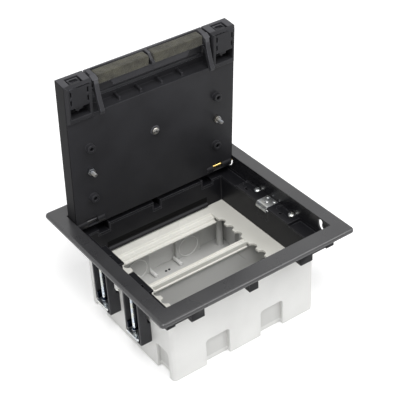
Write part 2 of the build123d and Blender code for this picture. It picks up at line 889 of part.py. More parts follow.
# Earth bracket: a bent strip in the gap of the right ledge
bracket_half_width = side_gap_width / 2 - bracket_side_gap
bracket_face_x = side_ledge_x - bracket_nose
bracket_end_x = well_x - bracket_seat_inset
with BuildPart() as earth_bracket:
    with BuildSketch(
        Plane(origin=(0, bracket_half_width, level(ledge_depth)), x_dir=(1, 0, 0), z_dir=(0, -1, 0))
    ) as strip:
        with BuildLine():
            Line((bracket_end_x, 0), (bracket_face_x + bracket_bend_radius, 0))
            CenterArc(
                (bracket_face_x + bracket_bend_radius, -bracket_bend_radius), bracket_bend_radius, 90, 90
            )
            Line((bracket_face_x, -bracket_bend_radius), (bracket_face_x, -bracket_lip_height))
            Line(
                (bracket_face_x, -bracket_lip_height),
                (bracket_face_x + bracket_thickness, -bracket_lip_height),
            )
            Line(
                (bracket_face_x + bracket_thickness, -bracket_lip_height),
                (bracket_face_x + bracket_thickness, -bracket_bend_radius),
            )
            CenterArc(
                (bracket_face_x + bracket_bend_radius, -bracket_bend_radius),
                bracket_bend_radius - bracket_thickness,
                180,
                -90,
            )
            Line(
                (bracket_face_x + bracket_bend_radius, -bracket_thickness),
                (bracket_end_x, -bracket_thickness),
            )
            Line((bracket_end_x, -bracket_thickness), (bracket_end_x, 0))
        make_face()
    extrude(strip.sketch, amount=2 * bracket_half_width)
    bracket_depths = (ledge_depth, ledge_depth + bracket_thickness)
    rod(bracket_hole_x, 0, bracket_depths, bracket_hole_radius, mode=Mode.SUBTRACT)
    for y_side in (-1, 1):
        rod(rivet_x, y_side * rivet_y, bracket_depths, rivet_radius, mode=Mode.SUBTRACT)
earth_bracket.part.label = "earth_bracket"
export_step(earth_bracket.part, "parts/earth_bracket.step")

with BuildPart() as bracket_rivets:
    for y_side in (-1, 1):
        rod(rivet_x, y_side * rivet_y, (ledge_depth, ledge_under), rivet_radius)
        with BuildSketch(Plane.XY.offset(level(ledge_depth))) as rivet_head:
            with Locations((rivet_x, y_side * rivet_y)):
                Circle(rivet_head_radius)
        extrude(rivet_head.sketch, amount=rivet_head_height, taper=rivet_head_taper)
bracket_rivets.part.label = "bracket_rivets"
export_step(bracket_rivets.part, "parts/bracket_rivets.step")

# Screws that pull the back box up against the frame
with BuildPart() as box_screws:
    lug_under = pocket_under + lug_height
    for x_side in (-1, 1):
        for y_side in (-1, 1):
            rod(x_side * lug_x, y_side * lug_y, (pocket_under - box_screw_grip, lug_under), box_screw_radius)
            rod(
                x_side * lug_x,
                y_side * lug_y,
                (lug_under, lug_under + box_screw_head_height),
                box_screw_head_radius,
            )
box_screws.part.label = "box_screws"
export_step(box_screws.part, "parts/box_screws.step")

# Claw guides, claw screws and claws, one set at each end of both side ledges
for (x_side, y_side), place in place_names.items():
    screw_y = y_side * guide_y - x_side * claw_screw_offset
    guide_y_ends = (y_side * guide_y - guide_width / 2, y_side * guide_y + guide_width / 2)
    guide_back_x = guide_top_back_x + guide_back_wall
    with BuildPart() as claw_guide:
        block(
            (x_side * guide_top_back_x, x_side * guide_outer_x),
            guide_y_ends,
            (pad_under, guide_foot_depth),
        )
        block((x_side * box_x, x_side * guide_outer_x), guide_y_ends, (guide_step_depth, guide_foot_depth))
        block(
            (x_side * guide_back_x, x_side * guide_outer_x),
            (guide_y_ends[0] + guide_wall, guide_y_ends[1] - guide_wall),
            (pad_under, guide_foot_depth - guide_floor_thickness),
            mode=Mode.SUBTRACT,
        )
        rod(
            x_side * screw_x,
            screw_y,
            (guide_foot_depth - guide_floor_thickness, guide_foot_depth),
            claw_screw_radius + running_gap,
            mode=Mode.SUBTRACT,
        )
    claw_guide.part.label = "claw_guide_" + place
    export_step(claw_guide.part, "parts/claw_guide_" + place + ".step")

    head_under = screw_seat_depth - seat_gap
    with BuildPart() as claw_screw:
        rod(x_side * screw_x, screw_y, (head_under, guide_foot_depth), claw_screw_radius)
        rod(
            x_side * screw_x,
            screw_y,
            (head_under - claw_screw_head_height, head_under),
            claw_screw_head_radius,
        )
        fillet(claw_screw.faces().sort_by(Axis.Z)[-1].edges(), claw_screw_head_edge)
        for turn in (0, 90):
            with BuildSketch(Plane.XY.offset(level(head_under - claw_screw_head_height))) as slot:
                with Locations(Location((x_side * screw_x, screw_y, 0), turn + claw_screw_slot_turn)):
                    Rectangle(claw_screw_slot_length, claw_screw_slot_width)
            extrude(slot.sketch, amount=-claw_screw_slot_depth, mode=Mode.SUBTRACT)
    claw_screw.part.label = "claw_screw_" + place
    export_step(claw_screw.part, "parts/claw_screw_" + place + ".step")

    claw_clearance = guide_wall + claw_side_gap
    claw_y_ends = (guide_y_ends[0] + claw_clearance, guide_y_ends[1] - claw_clearance)
    arm_y = claw_y_ends[1] if x_side < 0 else claw_y_ends[0]
    claw_top = claw_rest_depth - claw_thickness
    claw_outer_x = guide_outer_x + claw_projection
    with BuildPart() as claw:
        block(
            (x_side * (guide_back_x + claw_side_gap), x_side * claw_outer_x),
            claw_y_ends,
            (claw_top, claw_rest_depth),
        )
        block(
            (x_side * (claw_outer_x - claw_thickness), x_side * claw_outer_x),
            claw_y_ends,
            (claw_top, claw_rest_depth + claw_lip_drop),
        )
        outer_face = claw.faces().sort_by(Axis.X)[0 if x_side < 0 else -1]
        fillet(outer_face.edges().filter_by(Axis.Z), claw_corner_radius)
        block(
            (x_side * (guide_back_x + claw_side_gap), x_side * guide_outer_x),
            (arm_y, arm_y + x_side * claw_thickness),
            (claw_top - claw_arm_height, claw_top),
        )
        rod(x_side * screw_x, screw_y, (claw_top - claw_boss_height, claw_rest_depth), claw_boss_radius)
        rod(
            x_side * screw_x,
            screw_y,
            (claw_top - claw_boss_height, claw_rest_depth),
            claw_screw_radius + running_gap,
            mode=Mode.SUBTRACT,
        )
    claw.part.label = "claw_" + place
    export_step(claw.part, "parts/claw_" + place + ".step")

# Lid body: a shallow tray, closed below by its plate, with ribs inside and a rounded heel at the hinge
recess_v = lid_front - recess_length
block_v = lid_front - block_length
cavity_end = block_v - lid_wall
with BuildPart() as lid_body:
    with BuildSketch(side_plane(-lid_x)) as profile:
        with BuildLine():
            Line((0, 0), (lid_front, 0))
            Line((lid_front, 0), (lid_front, lid_thickness / 2))
            Line((lid_front, lid_thickness / 2), (lid_front - lid_front_taper, lid_thickness))
            Line((lid_front - lid_front_taper, lid_thickness), (-lid_heel, lid_thickness))
            Line((-lid_heel, lid_thickness), (-hinge_depth, hinge_depth))
            CenterArc((0, hinge_depth), hinge_depth, 180, 90)
        make_face()
    extrude(profile.sketch, amount=2 * lid_x)
    for side in (-1, 1):
        # Hinge barrel
        cross_rod((side * barrel_inner_x, side * barrel_outer_x), pin_v, pin_w, barrel_radius)
        # Corner block with slanted flanks
        with BuildSketch(lid_plane.offset(lid_thickness)) as block_foot:
            block_middle_v = lid_front - lid_front_taper - block_length / 2
            with Locations((side * (block_inner_x + block_outer_x) / 2, block_middle_v)):
                Rectangle(block_outer_x - block_inner_x, block_length)
        extrude(block_foot.sketch, amount=block_height, taper=block_draft)
        for tube_v in (tube_lower_v, tube_upper_v):
            lid_rod(side * tube_x, tube_v, (lid_thickness, lid_thickness + tube_height), tube_radius)
    # Cavity above the plate, then ribs and bosses in it
    cavity_width = 2 * (lid_x - lid_wall)
    lid_block(
        (-cavity_width / 2, cavity_width / 2),
        (lid_cavity_start, cavity_end),
        (0, lid_under),
        mode=Mode.SUBTRACT,
    )
    for column in range(1, lid_rib_columns + 1):
        rib_x = -cavity_width / 2 + column * cavity_width / (lid_rib_columns + 1)
        lid_block(
            (rib_x - lid_rib_thickness / 2, rib_x + lid_rib_thickness / 2),
            (lid_cavity_start, cavity_end),
            (cover_thickness, lid_under),
        )
    for row in range(1, lid_rib_rows + 1):
        rib_v = lid_cavity_start + row * (cavity_end - lid_cavity_start) / (lid_rib_rows + 1)
        lid_block(
            (-cavity_width / 2, cavity_width / 2),
            (rib_v - lid_rib_thickness / 2, rib_v + lid_rib_thickness / 2),
            (cover_thickness, lid_under),
        )
    stud_places = [(-stud_x, stud_v), (stud_x, stud_v), (0, centre_screw_v)]
    tube_places = [(side * tube_x, v) for side in (-1, 1) for v in (tube_lower_v, tube_upper_v)]
    for x, v in stud_places + tube_places:
        lid_rod(x, v, (cover_thickness, lid_under), boss_radius)
    for x, v in stud_places:
        lid_rod(x, v, (cover_thickness, lid_thickness), stud_radius, mode=Mode.SUBTRACT)
    for x, v in tube_places:
        bore_ends = (cover_thickness + lid_plate, lid_thickness + tube_height)
        lid_rod(x, v, bore_ends, tube_bore, mode=Mode.SUBTRACT)
    # Shallow tray for the cover plate, which runs into the two front corners
    with BuildSketch(lid_plane) as tray:
        with Locations((0, (cover_start + lid_front - cover_rim) / 2)):
            RectangleRounded(
                2 * (lid_x - cover_rim), lid_front - cover_rim - cover_start, cover_corner_radius
            )
        with Locations((0, (recess_v - cover_rim + lid_front) / 2)):
            Rectangle(2 * (block_inner_x + cover_rim), lid_front - recess_v + cover_rim, mode=Mode.SUBTRACT)
    extrude(tray.sketch, amount=cover_thickness, mode=Mode.SUBTRACT)
    # Recess for the cable flap, with a lip at the top face and ribs on the lip
    recess_ends = (-block_inner_x, block_inner_x)
    lid_block(recess_ends, (recess_v, lid_front), (0, lid_thickness), mode=Mode.SUBTRACT)
    lid_block(recess_ends, (recess_v, recess_v + recess_lip_length), (0, recess_lip_thickness))
    for rib in range(recess_rib_count):
        rib_x = (2 * rib - recess_rib_count + 1) * recess_rib_x
        lid_block(
            (rib_x - recess_rib_thickness / 2, rib_x + recess_rib_thickness / 2),
            (recess_v, recess_v + recess_rib_length),
            (recess_lip_thickness, recess_rib_top),
        )
    pivot_v = lid_front - flap_pivot_setback
    for side in (-1, 1):
        # Bore and window of the hinge barrel
        cross_rod(
            (side * barrel_inner_x, side * lid_x),
            pin_v,
            pin_w,
            pin_radius + running_gap,
            mode=Mode.SUBTRACT,
        )
        lid_block(
            (side * barrel_window_inner_x, side * barrel_window_outer_x),
            (pin_v - barrel_radius, pin_v + barrel_radius),
            (pin_w, pin_w + barrel_radius),
            mode=Mode.SUBTRACT,
        )
        # Channel of the latch bolt with its wider port, window over its tail and seat of the cover
        bolt_half_width = latch_width / 2 + latch_gap
        bolt_half_height = latch_height / 2 + latch_gap
        lid_block(
            (side * (latch_x - bolt_half_width), side * (latch_x + bolt_half_width)),
            (lid_front - latch_setback - latch_length - latch_gap, lid_front),
            (latch_w - bolt_half_height, latch_w + bolt_half_height),
            mode=Mode.SUBTRACT,
        )
        lid_block(
            (side * (latch_x - latch_port_width / 2), side * (latch_x + latch_port_width / 2)),
            (lid_front - latch_port_depth, lid_front),
            (latch_w - latch_port_height / 2, latch_w + latch_port_height / 2),
            mode=Mode.SUBTRACT,
        )
        window_v = lid_front - latch_cover_margin - latch_cover_length
        lid_block(
            (side * (latch_x - latch_window_width / 2), side * (latch_x + latch_window_width / 2)),
            (window_v - latch_window_length, window_v),
            (lid_thickness + block_height - latch_window_depth, lid_thickness + block_height),
            mode=Mode.SUBTRACT,
        )
        lid_block(
            (
                side * (latch_x - latch_tail_width / 2 - latch_gap),
                side * (latch_x + latch_tail_width / 2 + latch_gap),
            ),
            (window_v - latch_window_length, window_v + latch_travel + latch_gap),
            (latch_w, lid_thickness + block_height),
            mode=Mode.SUBTRACT,
        )
        lid_block(
            (side * (latch_x - latch_cover_width / 2), side * (latch_x + latch_cover_width / 2)),
            (window_v, lid_front - latch_cover_margin),
            (lid_thickness + block_height - latch_cover_thickness, lid_thickness + block_height),
            mode=Mode.SUBTRACT,
        )
        cover_middle_v = window_v + latch_cover_length / 2
        for edge in (-1, 1):
            notch_x = side * latch_x + edge * (latch_cover_width / 2 - latch_cover_notch / 2)
            for notch_v in (-latch_cover_notch_pitch / 2, latch_cover_notch_pitch / 2):
                lid_block(
                    (notch_x - latch_cover_notch / 2, notch_x + latch_cover_notch / 2),
                    (
                        cover_middle_v + notch_v - latch_cover_notch_length / 2,
                        cover_middle_v + notch_v + latch_cover_notch_length / 2,
                    ),
                    (
                        lid_thickness + block_height - latch_cover_thickness - latch_cover_notch_depth,
                        lid_thickness + block_height,
                    ),
                    mode=Mode.SUBTRACT,
                )
        cross_rod(
            (side * block_inner_x, side * (block_inner_x + flap_pin_seat)),
            pivot_v,
            flap_pivot_w,
            flap_pin_radius,
            mode=Mode.SUBTRACT,
        )
lid_body.part.label = "lid_body"
export_step(lid_body.part, "parts/lid_body.step")

# Cover plate
with BuildPart() as cover_plate:
    with BuildSketch(lid_plane) as sheet:
        with Locations((0, (cover_start + lid_front - cover_rim) / 2)):
            RectangleRounded(
                2 * (lid_x - cover_rim - cover_gap),
                lid_front - cover_rim - cover_start - 2 * cover_gap,
                cover_corner_radius - cover_gap,
            )
        with Locations((0, (recess_v - cover_rim - cover_gap + lid_front) / 2)):
            Rectangle(
                2 * (block_inner_x + cover_rim + cover_gap),
                lid_front - recess_v + cover_rim + cover_gap,
                mode=Mode.SUBTRACT,
            )
    extrude(sheet.sketch, amount=cover_thickness)
cover_plate.part.label = "cover_plate"
export_step(cover_plate.part, "parts/cover_plate.step")

# What holds the cover plate: two studs with nuts and one screw in the middle
with BuildPart() as lid_studs:
    for side in (-1, 1):
        lid_rod(side * stud_x, stud_v, (cover_thickness, lid_thickness + stud_length), stud_radius)
lid_studs.part.label = "lid_studs"
export_step(lid_studs.part, "parts/lid_studs.step")

with BuildPart() as lid_nuts:
    for side in (-1, 1):
        with BuildSketch(lid_plane.offset(lid_thickness)) as nut:
            with Locations((side * stud_x, stud_v)):
                RegularPolygon(nut_flats / 2, 6, major_radius=False)
                Circle(stud_radius, mode=Mode.SUBTRACT)
        extrude(nut.sketch, amount=nut_height)
lid_nuts.part.label = "lid_nuts"
export_step(lid_nuts.part, "parts/lid_nuts.step")

with BuildPart() as lid_centre_screw:
    lid_rod(0, centre_screw_v, (cover_thickness, lid_thickness), stud_radius)
    head_ends = (lid_thickness, lid_thickness + centre_screw_head_height)
    lid_rod(0, centre_screw_v, head_ends, centre_screw_head_radius)
    with BuildSketch(lid_plane.offset(lid_thickness + centre_screw_head_height)) as socket:
        with Locations((0, centre_screw_v)):
            RegularPolygon(centre_screw_head_radius / 2, 6)
    extrude(socket.sketch, amount=-centre_screw_head_height / 2, mode=Mode.SUBTRACT)
lid_centre_screw.part.label = "lid_centre_screw"
export_step(lid_centre_screw.part, "parts/lid_centre_screw.step")

for side, name in ((-1, "left"), (1, "right")):
    # Brass hinge pin
    with BuildPart() as hinge_pin:
        cross_rod((side * pin_inner_x, side * (well_x + pin_wall_overlap)), pin_v, pin_w, pin_radius)
        chamfer(hinge_pin.edges().filter_by(GeomType.CIRCLE), pin_end_chamfer)
    hinge_pin.part.label = "hinge_pin_" + name
    export_step(hinge_pin.part, "parts/hinge_pin_" + name + ".step")

    # Latch: a bolt with a sloped nose and a pocket in its end, a finger tail and a peg behind it
    bolt_front = lid_front - latch_setback
    with BuildPart() as latch:
        lid_block(
            (side * latch_x - latch_width / 2, side * latch_x + latch_width / 2),
            (bolt_front - latch_length, bolt_front),
            (latch_w - latch_height / 2, latch_w + latch_height / 2),
        )
        nose_edges = latch.faces().sort_by(Axis.Z)[-1].edges().sort_by(Axis.Y)
        chamfer(nose_edges[0], latch_nose)
        lid_block(
            (side * latch_x - latch_pocket_width / 2, side * latch_x + latch_pocket_width / 2),
            (bolt_front - latch_pocket_depth, bolt_front),
            (latch_w - latch_pocket_height / 2, latch_w + latch_pocket_height / 2),
            mode=Mode.SUBTRACT,
        )
        tail_back = window_v - latch_tail_gap - latch_tail_length
        lid_block(
            (side * latch_x - latch_width / 2, side * latch_x + latch_width / 2),
            (bolt_front - latch_length, tail_back),
            (lid_thickness + block_height - latch_window_depth, latch_w + latch_height / 2),
            mode=Mode.SUBTRACT,
        )
        lid_block(
            (side * latch_x - latch_tail_width / 2, side * latch_x + latch_tail_width / 2),
            (tail_back, window_v - latch_tail_gap),
            (latch_w, latch_w + latch_height / 2 + latch_tail_height),
        )
        lid_rod(
            side * latch_x,
            tail_back - latch_peg_gap,
            (latch_w - latch_height / 2, latch_w + latch_height / 2 + latch_peg_height),
            latch_peg_radius,
        )
    latch.part.label = "latch_" + name
    export_step(latch.part, "parts/latch_" + name + ".step")

    # Panel over the latch, with notches along both sides
    with BuildPart() as latch_cover:
        with BuildSketch(lid_plane.offset(lid_thickness + block_height - latch_cover_thickness)) as panel:
            with Locations((side * latch_x, cover_middle_v)):
                Rectangle(latch_cover_width, latch_cover_length)
                with GridLocations(latch_cover_width, latch_cover_notch_pitch, 2, 2):
                    Rectangle(2 * latch_cover_notch, latch_cover_notch_length, mode=Mode.SUBTRACT)
        extrude(panel.sketch, amount=latch_cover_thickness)
    latch_cover.part.label = "latch_cover_" + name
    export_step(latch_cover.part, "parts/latch_cover_" + name + ".step")

# Pivots of the cable flap
with BuildPart() as flap_pins:
    for side in (-1, 1):
        cross_rod(
            (side * flap_pin_inner_x, side * (block_inner_x + flap_pin_seat)),
            pivot_v,
            flap_pivot_w,
            flap_pin_radius,
        )
flap_pins.part.label = "flap_pins"
export_step(flap_pins.part, "parts/flap_pins.step")

# Cable flap: skin, shelf behind the foam, finger and two curved arms
flap_heel_v = recess_v + recess_lip_length + flap_heel_gap
skin_under = flap_sink + flap_skin
foam_heel_v = lid_front - foam_edge - foam_length - foam_slack
with BuildPart() as cable_flap:
    lid_block((-flap_half_width, flap_half_width), (flap_heel_v, lid_front), (flap_sink, skin_under))
    # Tongue under the heel that keeps light out of the gap
    lid_block(
        (-arm_inner_x, arm_inner_x),
        (flap_heel_v - flap_tongue_length, flap_heel_v + flap_tongue_length),
        (skin_under, skin_under + flap_tongue_thickness),
    )
    lid_block(
        (-arm_inner_x, arm_inner_x),
        (foam_heel_v - shelf_wall, foam_heel_v),
        (flap_sink, skin_under + foam_depth - shelf_wall),
    )
    with BuildSketch(lid_plane.offset(skin_under + foam_depth - 2 * shelf_wall)) as shelf:
        with BuildLine():
            Polyline(
                (-shelf_half_width, foam_heel_v),
                (shelf_half_width, foam_heel_v),
                (shelf_half_width - shelf_slant, foam_heel_v - shelf_length),
                (-shelf_half_width + shelf_slant, foam_heel_v - shelf_length),
                close=True,
            )
        make_face()
    extrude(shelf.sketch, amount=shelf_wall)
    # Finger: a hooked rib across the middle of the foam
    with BuildSketch(side_plane(-finger_half_width)) as finger:
        with BuildLine():
            Polyline(
                (lid_front, flap_sink),
                *[(lid_front - back, depth) for back, depth in finger_profile],
                (lid_front - finger_foot, flap_sink),
                close=True,
            )
        make_face()
    extrude(finger.sketch, amount=2 * finger_half_width)
    for side in (-1, 1):
        inner = min(side * arm_inner_x, side * arm_outer_x)
        with BuildSketch(side_plane(inner)) as arm:
            with BuildLine():
                Polyline(
                    (lid_front, flap_sink),
                    *[(lid_front - back, depth) for back, depth in arm_profile],
                    (lid_front - arm_foot, flap_sink),
                    close=True,
                )
            make_face()
            with Locations((pivot_v, flap_pivot_w)):
                Circle(flap_hub_radius)
        extrude(arm.sketch, amount=arm_outer_x - arm_inner_x)
        # The front end of each arm is a wider strip
        head_inner = min(side * arm_head_inner_x, side * arm_head_outer_x)
        with BuildSketch(side_plane(head_inner)) as head:
            with BuildLine():
                Polyline(
                    *[(lid_front - back, depth) for back, depth in arm_profile[:2]],
                    *[
                        (lid_front - back - arm_head_thickness, depth - arm_head_thickness / 2)
                        for back, depth in arm_profile[1::-1]
                    ],
                    close=True,
                )
            make_face()
        extrude(head.sketch, amount=arm_head_outer_x - arm_head_inner_x)
        cross_rod(
            (side * arm_inner_x, side * arm_outer_x),
            pivot_v,
            flap_pivot_w,
            flap_pin_radius + running_gap,
            mode=Mode.SUBTRACT,
        )
cable_flap.part.label = "cable_flap"
export_step(cable_flap.part, "parts/cable_flap.step")

for side, name in ((-1, "left"), (1, "right")):
    with BuildPart() as foam_strip:
        lid_block(
            (side * (finger_half_width + foam_finger_gap), side * (arm_inner_x - foam_arm_gap)),
            (foam_heel_v, foam_heel_v + foam_length),
            (skin_under, skin_under + foam_depth),
        )
    foam_strip.part.label = "foam_strip_" + name
    export_step(foam_strip.part, "parts/foam_strip_" + name + ".step")
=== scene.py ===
# %% [markdown]
# # An in-floor outlet box with its lid open
#
# The object is a socket box for a raised floor. A dark frame with a wide flange lies on the floor,
# a pale box hangs below it, two rows of wiring modules clip into a cream frame inside, and a thick
# dark lid closes the whole. Its exact shapes come from a CAD model, so this script only loads that
# model and adds what a camera sees: rounded edges, screw threads, foam, surfaces and light.

# %% Load the imported model
import json
import math

import bmesh
import bpy
from mathutils import Matrix, Vector, noise

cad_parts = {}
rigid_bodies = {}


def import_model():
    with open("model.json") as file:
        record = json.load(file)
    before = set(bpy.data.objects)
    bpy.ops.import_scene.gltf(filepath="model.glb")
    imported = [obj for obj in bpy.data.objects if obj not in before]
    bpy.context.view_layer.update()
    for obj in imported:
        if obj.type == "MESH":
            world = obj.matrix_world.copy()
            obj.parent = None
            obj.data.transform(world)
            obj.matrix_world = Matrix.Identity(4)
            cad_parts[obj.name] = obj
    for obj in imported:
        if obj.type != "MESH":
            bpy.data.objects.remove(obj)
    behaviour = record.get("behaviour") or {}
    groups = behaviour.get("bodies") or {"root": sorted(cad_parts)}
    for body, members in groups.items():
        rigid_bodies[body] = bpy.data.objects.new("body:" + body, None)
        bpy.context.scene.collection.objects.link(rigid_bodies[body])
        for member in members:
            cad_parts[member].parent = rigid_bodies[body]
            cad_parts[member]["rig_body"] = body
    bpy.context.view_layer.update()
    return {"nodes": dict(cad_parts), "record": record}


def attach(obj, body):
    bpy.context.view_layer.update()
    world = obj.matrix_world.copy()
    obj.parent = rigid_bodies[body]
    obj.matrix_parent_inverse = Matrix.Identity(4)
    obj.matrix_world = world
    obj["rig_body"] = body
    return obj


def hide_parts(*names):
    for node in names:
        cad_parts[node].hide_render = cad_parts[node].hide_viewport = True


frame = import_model()
MM = 0.001
print("nodes loaded:", len(frame["nodes"]))

# %% [markdown]
# ## Two rulers
#
# The box is measured from the middle of its underside, with depths counted down from the floor.
# The lid stands open, almost upright, so its own parts are easier to draw flat: x across, v up the
# lid from the hinge, w through its thickness from the top face. One matrix then lays a flat drawing
# on the open lid. The alternative, typing leaning coordinates by hand, would be hard to read.

# %% The two rulers
FLOOR_LEVEL = 107.0
HINGE_Y = 78.4
HINGE_DEPTH = 6.63
LID_LEAN = math.radians(85.65)

up_the_lid = Vector((0.0, -math.cos(LID_LEAN), math.sin(LID_LEAN)))
into_the_lid = Vector((0.0, -math.sin(LID_LEAN), -math.cos(LID_LEAN)))
lid_corner = Vector(
    (
        0.0,
        HINGE_Y + HINGE_DEPTH * math.sin(LID_LEAN),
        FLOOR_LEVEL - HINGE_DEPTH + HINGE_DEPTH * math.cos(LID_LEAN),
    )
)
on_the_lid = Matrix.Scale(MM, 4) @ Matrix.Translation(lid_corner)
on_the_lid = on_the_lid @ Matrix(((1, 0, 0), up_the_lid, into_the_lid)).transposed().to_4x4()
in_the_box = Matrix.Scale(MM, 4)
print("lid corner (mm):", [round(c, 2) for c in lid_corner])

# %% [markdown]
# ## Helpers for new pieces
#
# Every new piece is a bmesh that is drawn in millimetres, laid in place and then given to an object
# that stays at the origin. Each piece rides on a body of the moving model and, where it stands for
# a CAD node, hides that node.

# %% Helpers for new pieces
PLACES = ("left_front", "left_rear", "right_front", "right_rear")
SIDES = ("left", "right")


def shade_by_angle(mesh, degrees=35):
    """Smooth shading that stays crisp over sharp corners."""
    mesh.polygons.foreach_set("use_smooth", [True] * len(mesh.polygons))
    mesh.set_sharp_from_angle(angle=math.radians(degrees))


def finish_piece(bm, name, body, stands_for=(), ruler=in_the_box):
    """Turns a bmesh into a named piece that rides on a body."""
    bm.transform(ruler)
    bmesh.ops.remove_doubles(bm, verts=bm.verts, dist=1e-7)
    bmesh.ops.recalc_face_normals(bm, faces=bm.faces)
    mesh = bpy.data.meshes.new(name)
    bm.to_mesh(mesh)
    bm.free()
    shade_by_angle(mesh)
    piece = bpy.data.objects.new(name, mesh)
    bpy.context.scene.collection.objects.link(piece)
    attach(piece, body)
    if stands_for:
        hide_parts(*stands_for)
    return piece


def round_block(bm, low, high, edge, segments=3):
    """Adds a block between two corners with all its edges rounded."""
    size = [b - a for a, b in zip(low, high)]
    middle = [(a + b) / 2 for a, b in zip(low, high)]
    made = bmesh.ops.create_cube(bm, size=1.0)
    bmesh.ops.scale(bm, vec=size, verts=made["verts"])
    bmesh.ops.translate(bm, vec=middle, verts=made["verts"])
    edges = {e for v in made["verts"] for e in v.link_edges}
    bmesh.ops.bevel(
        bm,
        geom=list(edges),
        offset=edge,
        segments=segments,
        profile=0.5,
        affect="EDGES",
        material=-1,
    )


def spun(bm, outline, centre, axis=(0, 0, 1), start=(1, 0, 0), steps=40):
    """Spins a line of points round an axis; each point is (out from the axis, along it)."""
    axis, start = Vector(axis), Vector(start)
    points = [bm.verts.new(Vector(centre) + start * out + axis * along) for out, along in outline]
    bmesh.ops.spin(
        bm,
        geom=points + [bm.edges.new(pair) for pair in zip(points, points[1:])],
        cent=centre,
        axis=axis,
        angle=2 * math.pi,
        steps=steps,
        use_merge=True,
    )
    bmesh.ops.remove_doubles(bm, verts=bm.verts, dist=0.0005)


# %% [markdown]
# ## Moulded edges
#
# No moulded or pressed part has a truly sharp edge: the tool leaves a radius of a few tenths of a
# millimetre, and that radius is what catches the light as a thin bright line. The CAD solids have
# sharp edges, which keeps them light. Here each node is copied, its loose triangles are merged
# back into flat faces, and every corner sharper than 30 degrees is bevelled. A bump trick in the
# material would look the same head-on, but the outline would stay sharp and the mesh would hold
# nothing of it.
#
# The frame's moulding comes from the CAD model in nine lengths that meet flush. Their seams aren't
# edges of the real moulding, so they are found by their place and left alone.

# %% Find the seams of the frame moulding
LEDGES = ["side_ledge_left", "side_ledge_right", "front_ledge", "rear_ledge"]
LEDGES += ["corner_ledge_" + place for place in PLACES]
MOULDING = ["floor_frame"] + LEDGES
LEDGE_LEVEL = FLOOR_LEVEL - 17.2
WELL_HALF = (94.7, 86.0)
CORNER_START = 42.0
END_LEDGE_HALF = 56.1
TOUCH = 0.02


def on_a_seam(edge):
    """True where two lengths of the frame moulding meet flush."""
    middle = (edge.verts[0].co + edge.verts[1].co) / 2 / MM
    x, y = abs(middle.x), abs(middle.y)
    in_the_wall = x > WELL_HALF[0] - TOUCH or y > WELL_HALF[1] - TOUCH
    along_the_wall = in_the_wall and abs(middle.z - LEDGE_LEVEL) < TOUCH
    across_the_wall = in_the_wall and abs(y - CORNER_START) < TOUCH
    return along_the_wall or across_the_wall or abs(x - END_LEDGE_HALF) < TOUCH


print("lengths of the moulding:", len(MOULDING))

# %% Round the edges of a CAD node
SHARP = math.radians(30)
FLAT = math.radians(0.6)
CAD_POINTS_MEET = 2e-6
BEVEL_POINTS_MEET = 1e-6


def soften(node, edge_mm, segments=2):
    """A copy of a CAD node with its sharp edges rounded, standing for that node."""
    source = frame["nodes"][node]
    bm = bmesh.new()
    bm.from_mesh(source.data)
    bmesh.ops.remove_doubles(bm, verts=bm.verts, dist=CAD_POINTS_MEET)
    bmesh.ops.dissolve_limit(
        bm, angle_limit=FLAT, verts=bm.verts, edges=bm.edges, use_dissolve_boundaries=False
    )
    bmesh.ops.triangulate(bm, faces=bm.faces)
    sharp = [e for e in bm.edges if e.is_manifold and e.calc_face_angle(0) > SHARP]
    if node in MOULDING:
        sharp = [e for e in sharp if not on_a_seam(e)]
    bmesh.ops.bevel(
        bm,
        geom=sharp,
        offset=edge_mm * MM,
        segments=segments,
        profile=0.5,
        affect="EDGES",
        material=-1,
        clamp_overlap=False,
    )
    bmesh.ops.remove_doubles(bm, verts=bm.verts, dist=BEVEL_POINTS_MEET)
    bmesh.ops.triangulate(bm, faces=bm.faces)
    mesh = bpy.data.meshes.new(node + "_rounded")
    bm.to_mesh(mesh)
    bm.free()
    shade_by_angle(mesh, 40)
    piece = bpy.data.objects.new(node + "_rounded", mesh)
    bpy.context.scene.collection.objects.link(piece)
    keep_faces_flat = piece.modifiers.new("keep_faces_flat", "WEIGHTED_NORMAL")
    keep_faces_flat.weight = 100
    keep_faces_flat.keep_sharp = True
    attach(piece, source["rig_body"])
    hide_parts(node)
    return piece


print("corners count as sharp from (degrees):", round(math.degrees(SHARP)))

# %% Round them all
edge_sizes = {
    "floor_frame": 0.35,
    **{ledge: 0.3 for ledge in LEDGES},
    "frame_liner": 0.3,
    "liner_blind_left": 0.15,
    "liner_blind_right": 0.15,
    "lid_nuts": 0.35,
    "box_screws": 0.3,
    "bracket_rivets": 0.15,
    "back_box": 0.6,
    "module_frame": 0.45,
    "row_divider": 0.3,
    "earth_bracket": 0.2,
    "lid_body": 0.5,
    "cover_plate": 0.4,
    "cable_flap": 0.4,
}
for side in SIDES:
    edge_sizes["latch_cover_" + side] = 0.3
    edge_sizes["latch_" + side] = 0.4
for place in PLACES:
    edge_sizes["claw_guide_" + place] = 0.35
    edge_sizes["claw_" + place] = 0.3

rounded = {node: soften(node, size) for node, size in edge_sizes.items()}
print("rounded nodes:", len(rounded))

# %% [markdown]
# ## Surfaces
#
# Every surface here is a small node network on Object coordinates, so that a pattern sits still on
# its piece when the piece moves. Moulded plastic has three things that a flat colour lacks: a slow
# drift in its shade, a fine grain from the etched mould, and paler edges, which are partly rubbed
# wear and partly painted highlight where light catches a rim. The edge mask compares the true
# normal with a slightly rounded one: where they differ, there is an edge nearby.

# %% Helpers for surfaces
def blank_surface(name):
    """A material with its shader and object coordinates ready."""
    material = bpy.data.materials.new(name)
    material.use_nodes = True
    nodes = material.node_tree.nodes
    shader = nodes["Principled BSDF"]
    where = nodes.new("ShaderNodeTexCoord")
    return material, nodes, material.node_tree.links, shader, where.outputs["Object"]


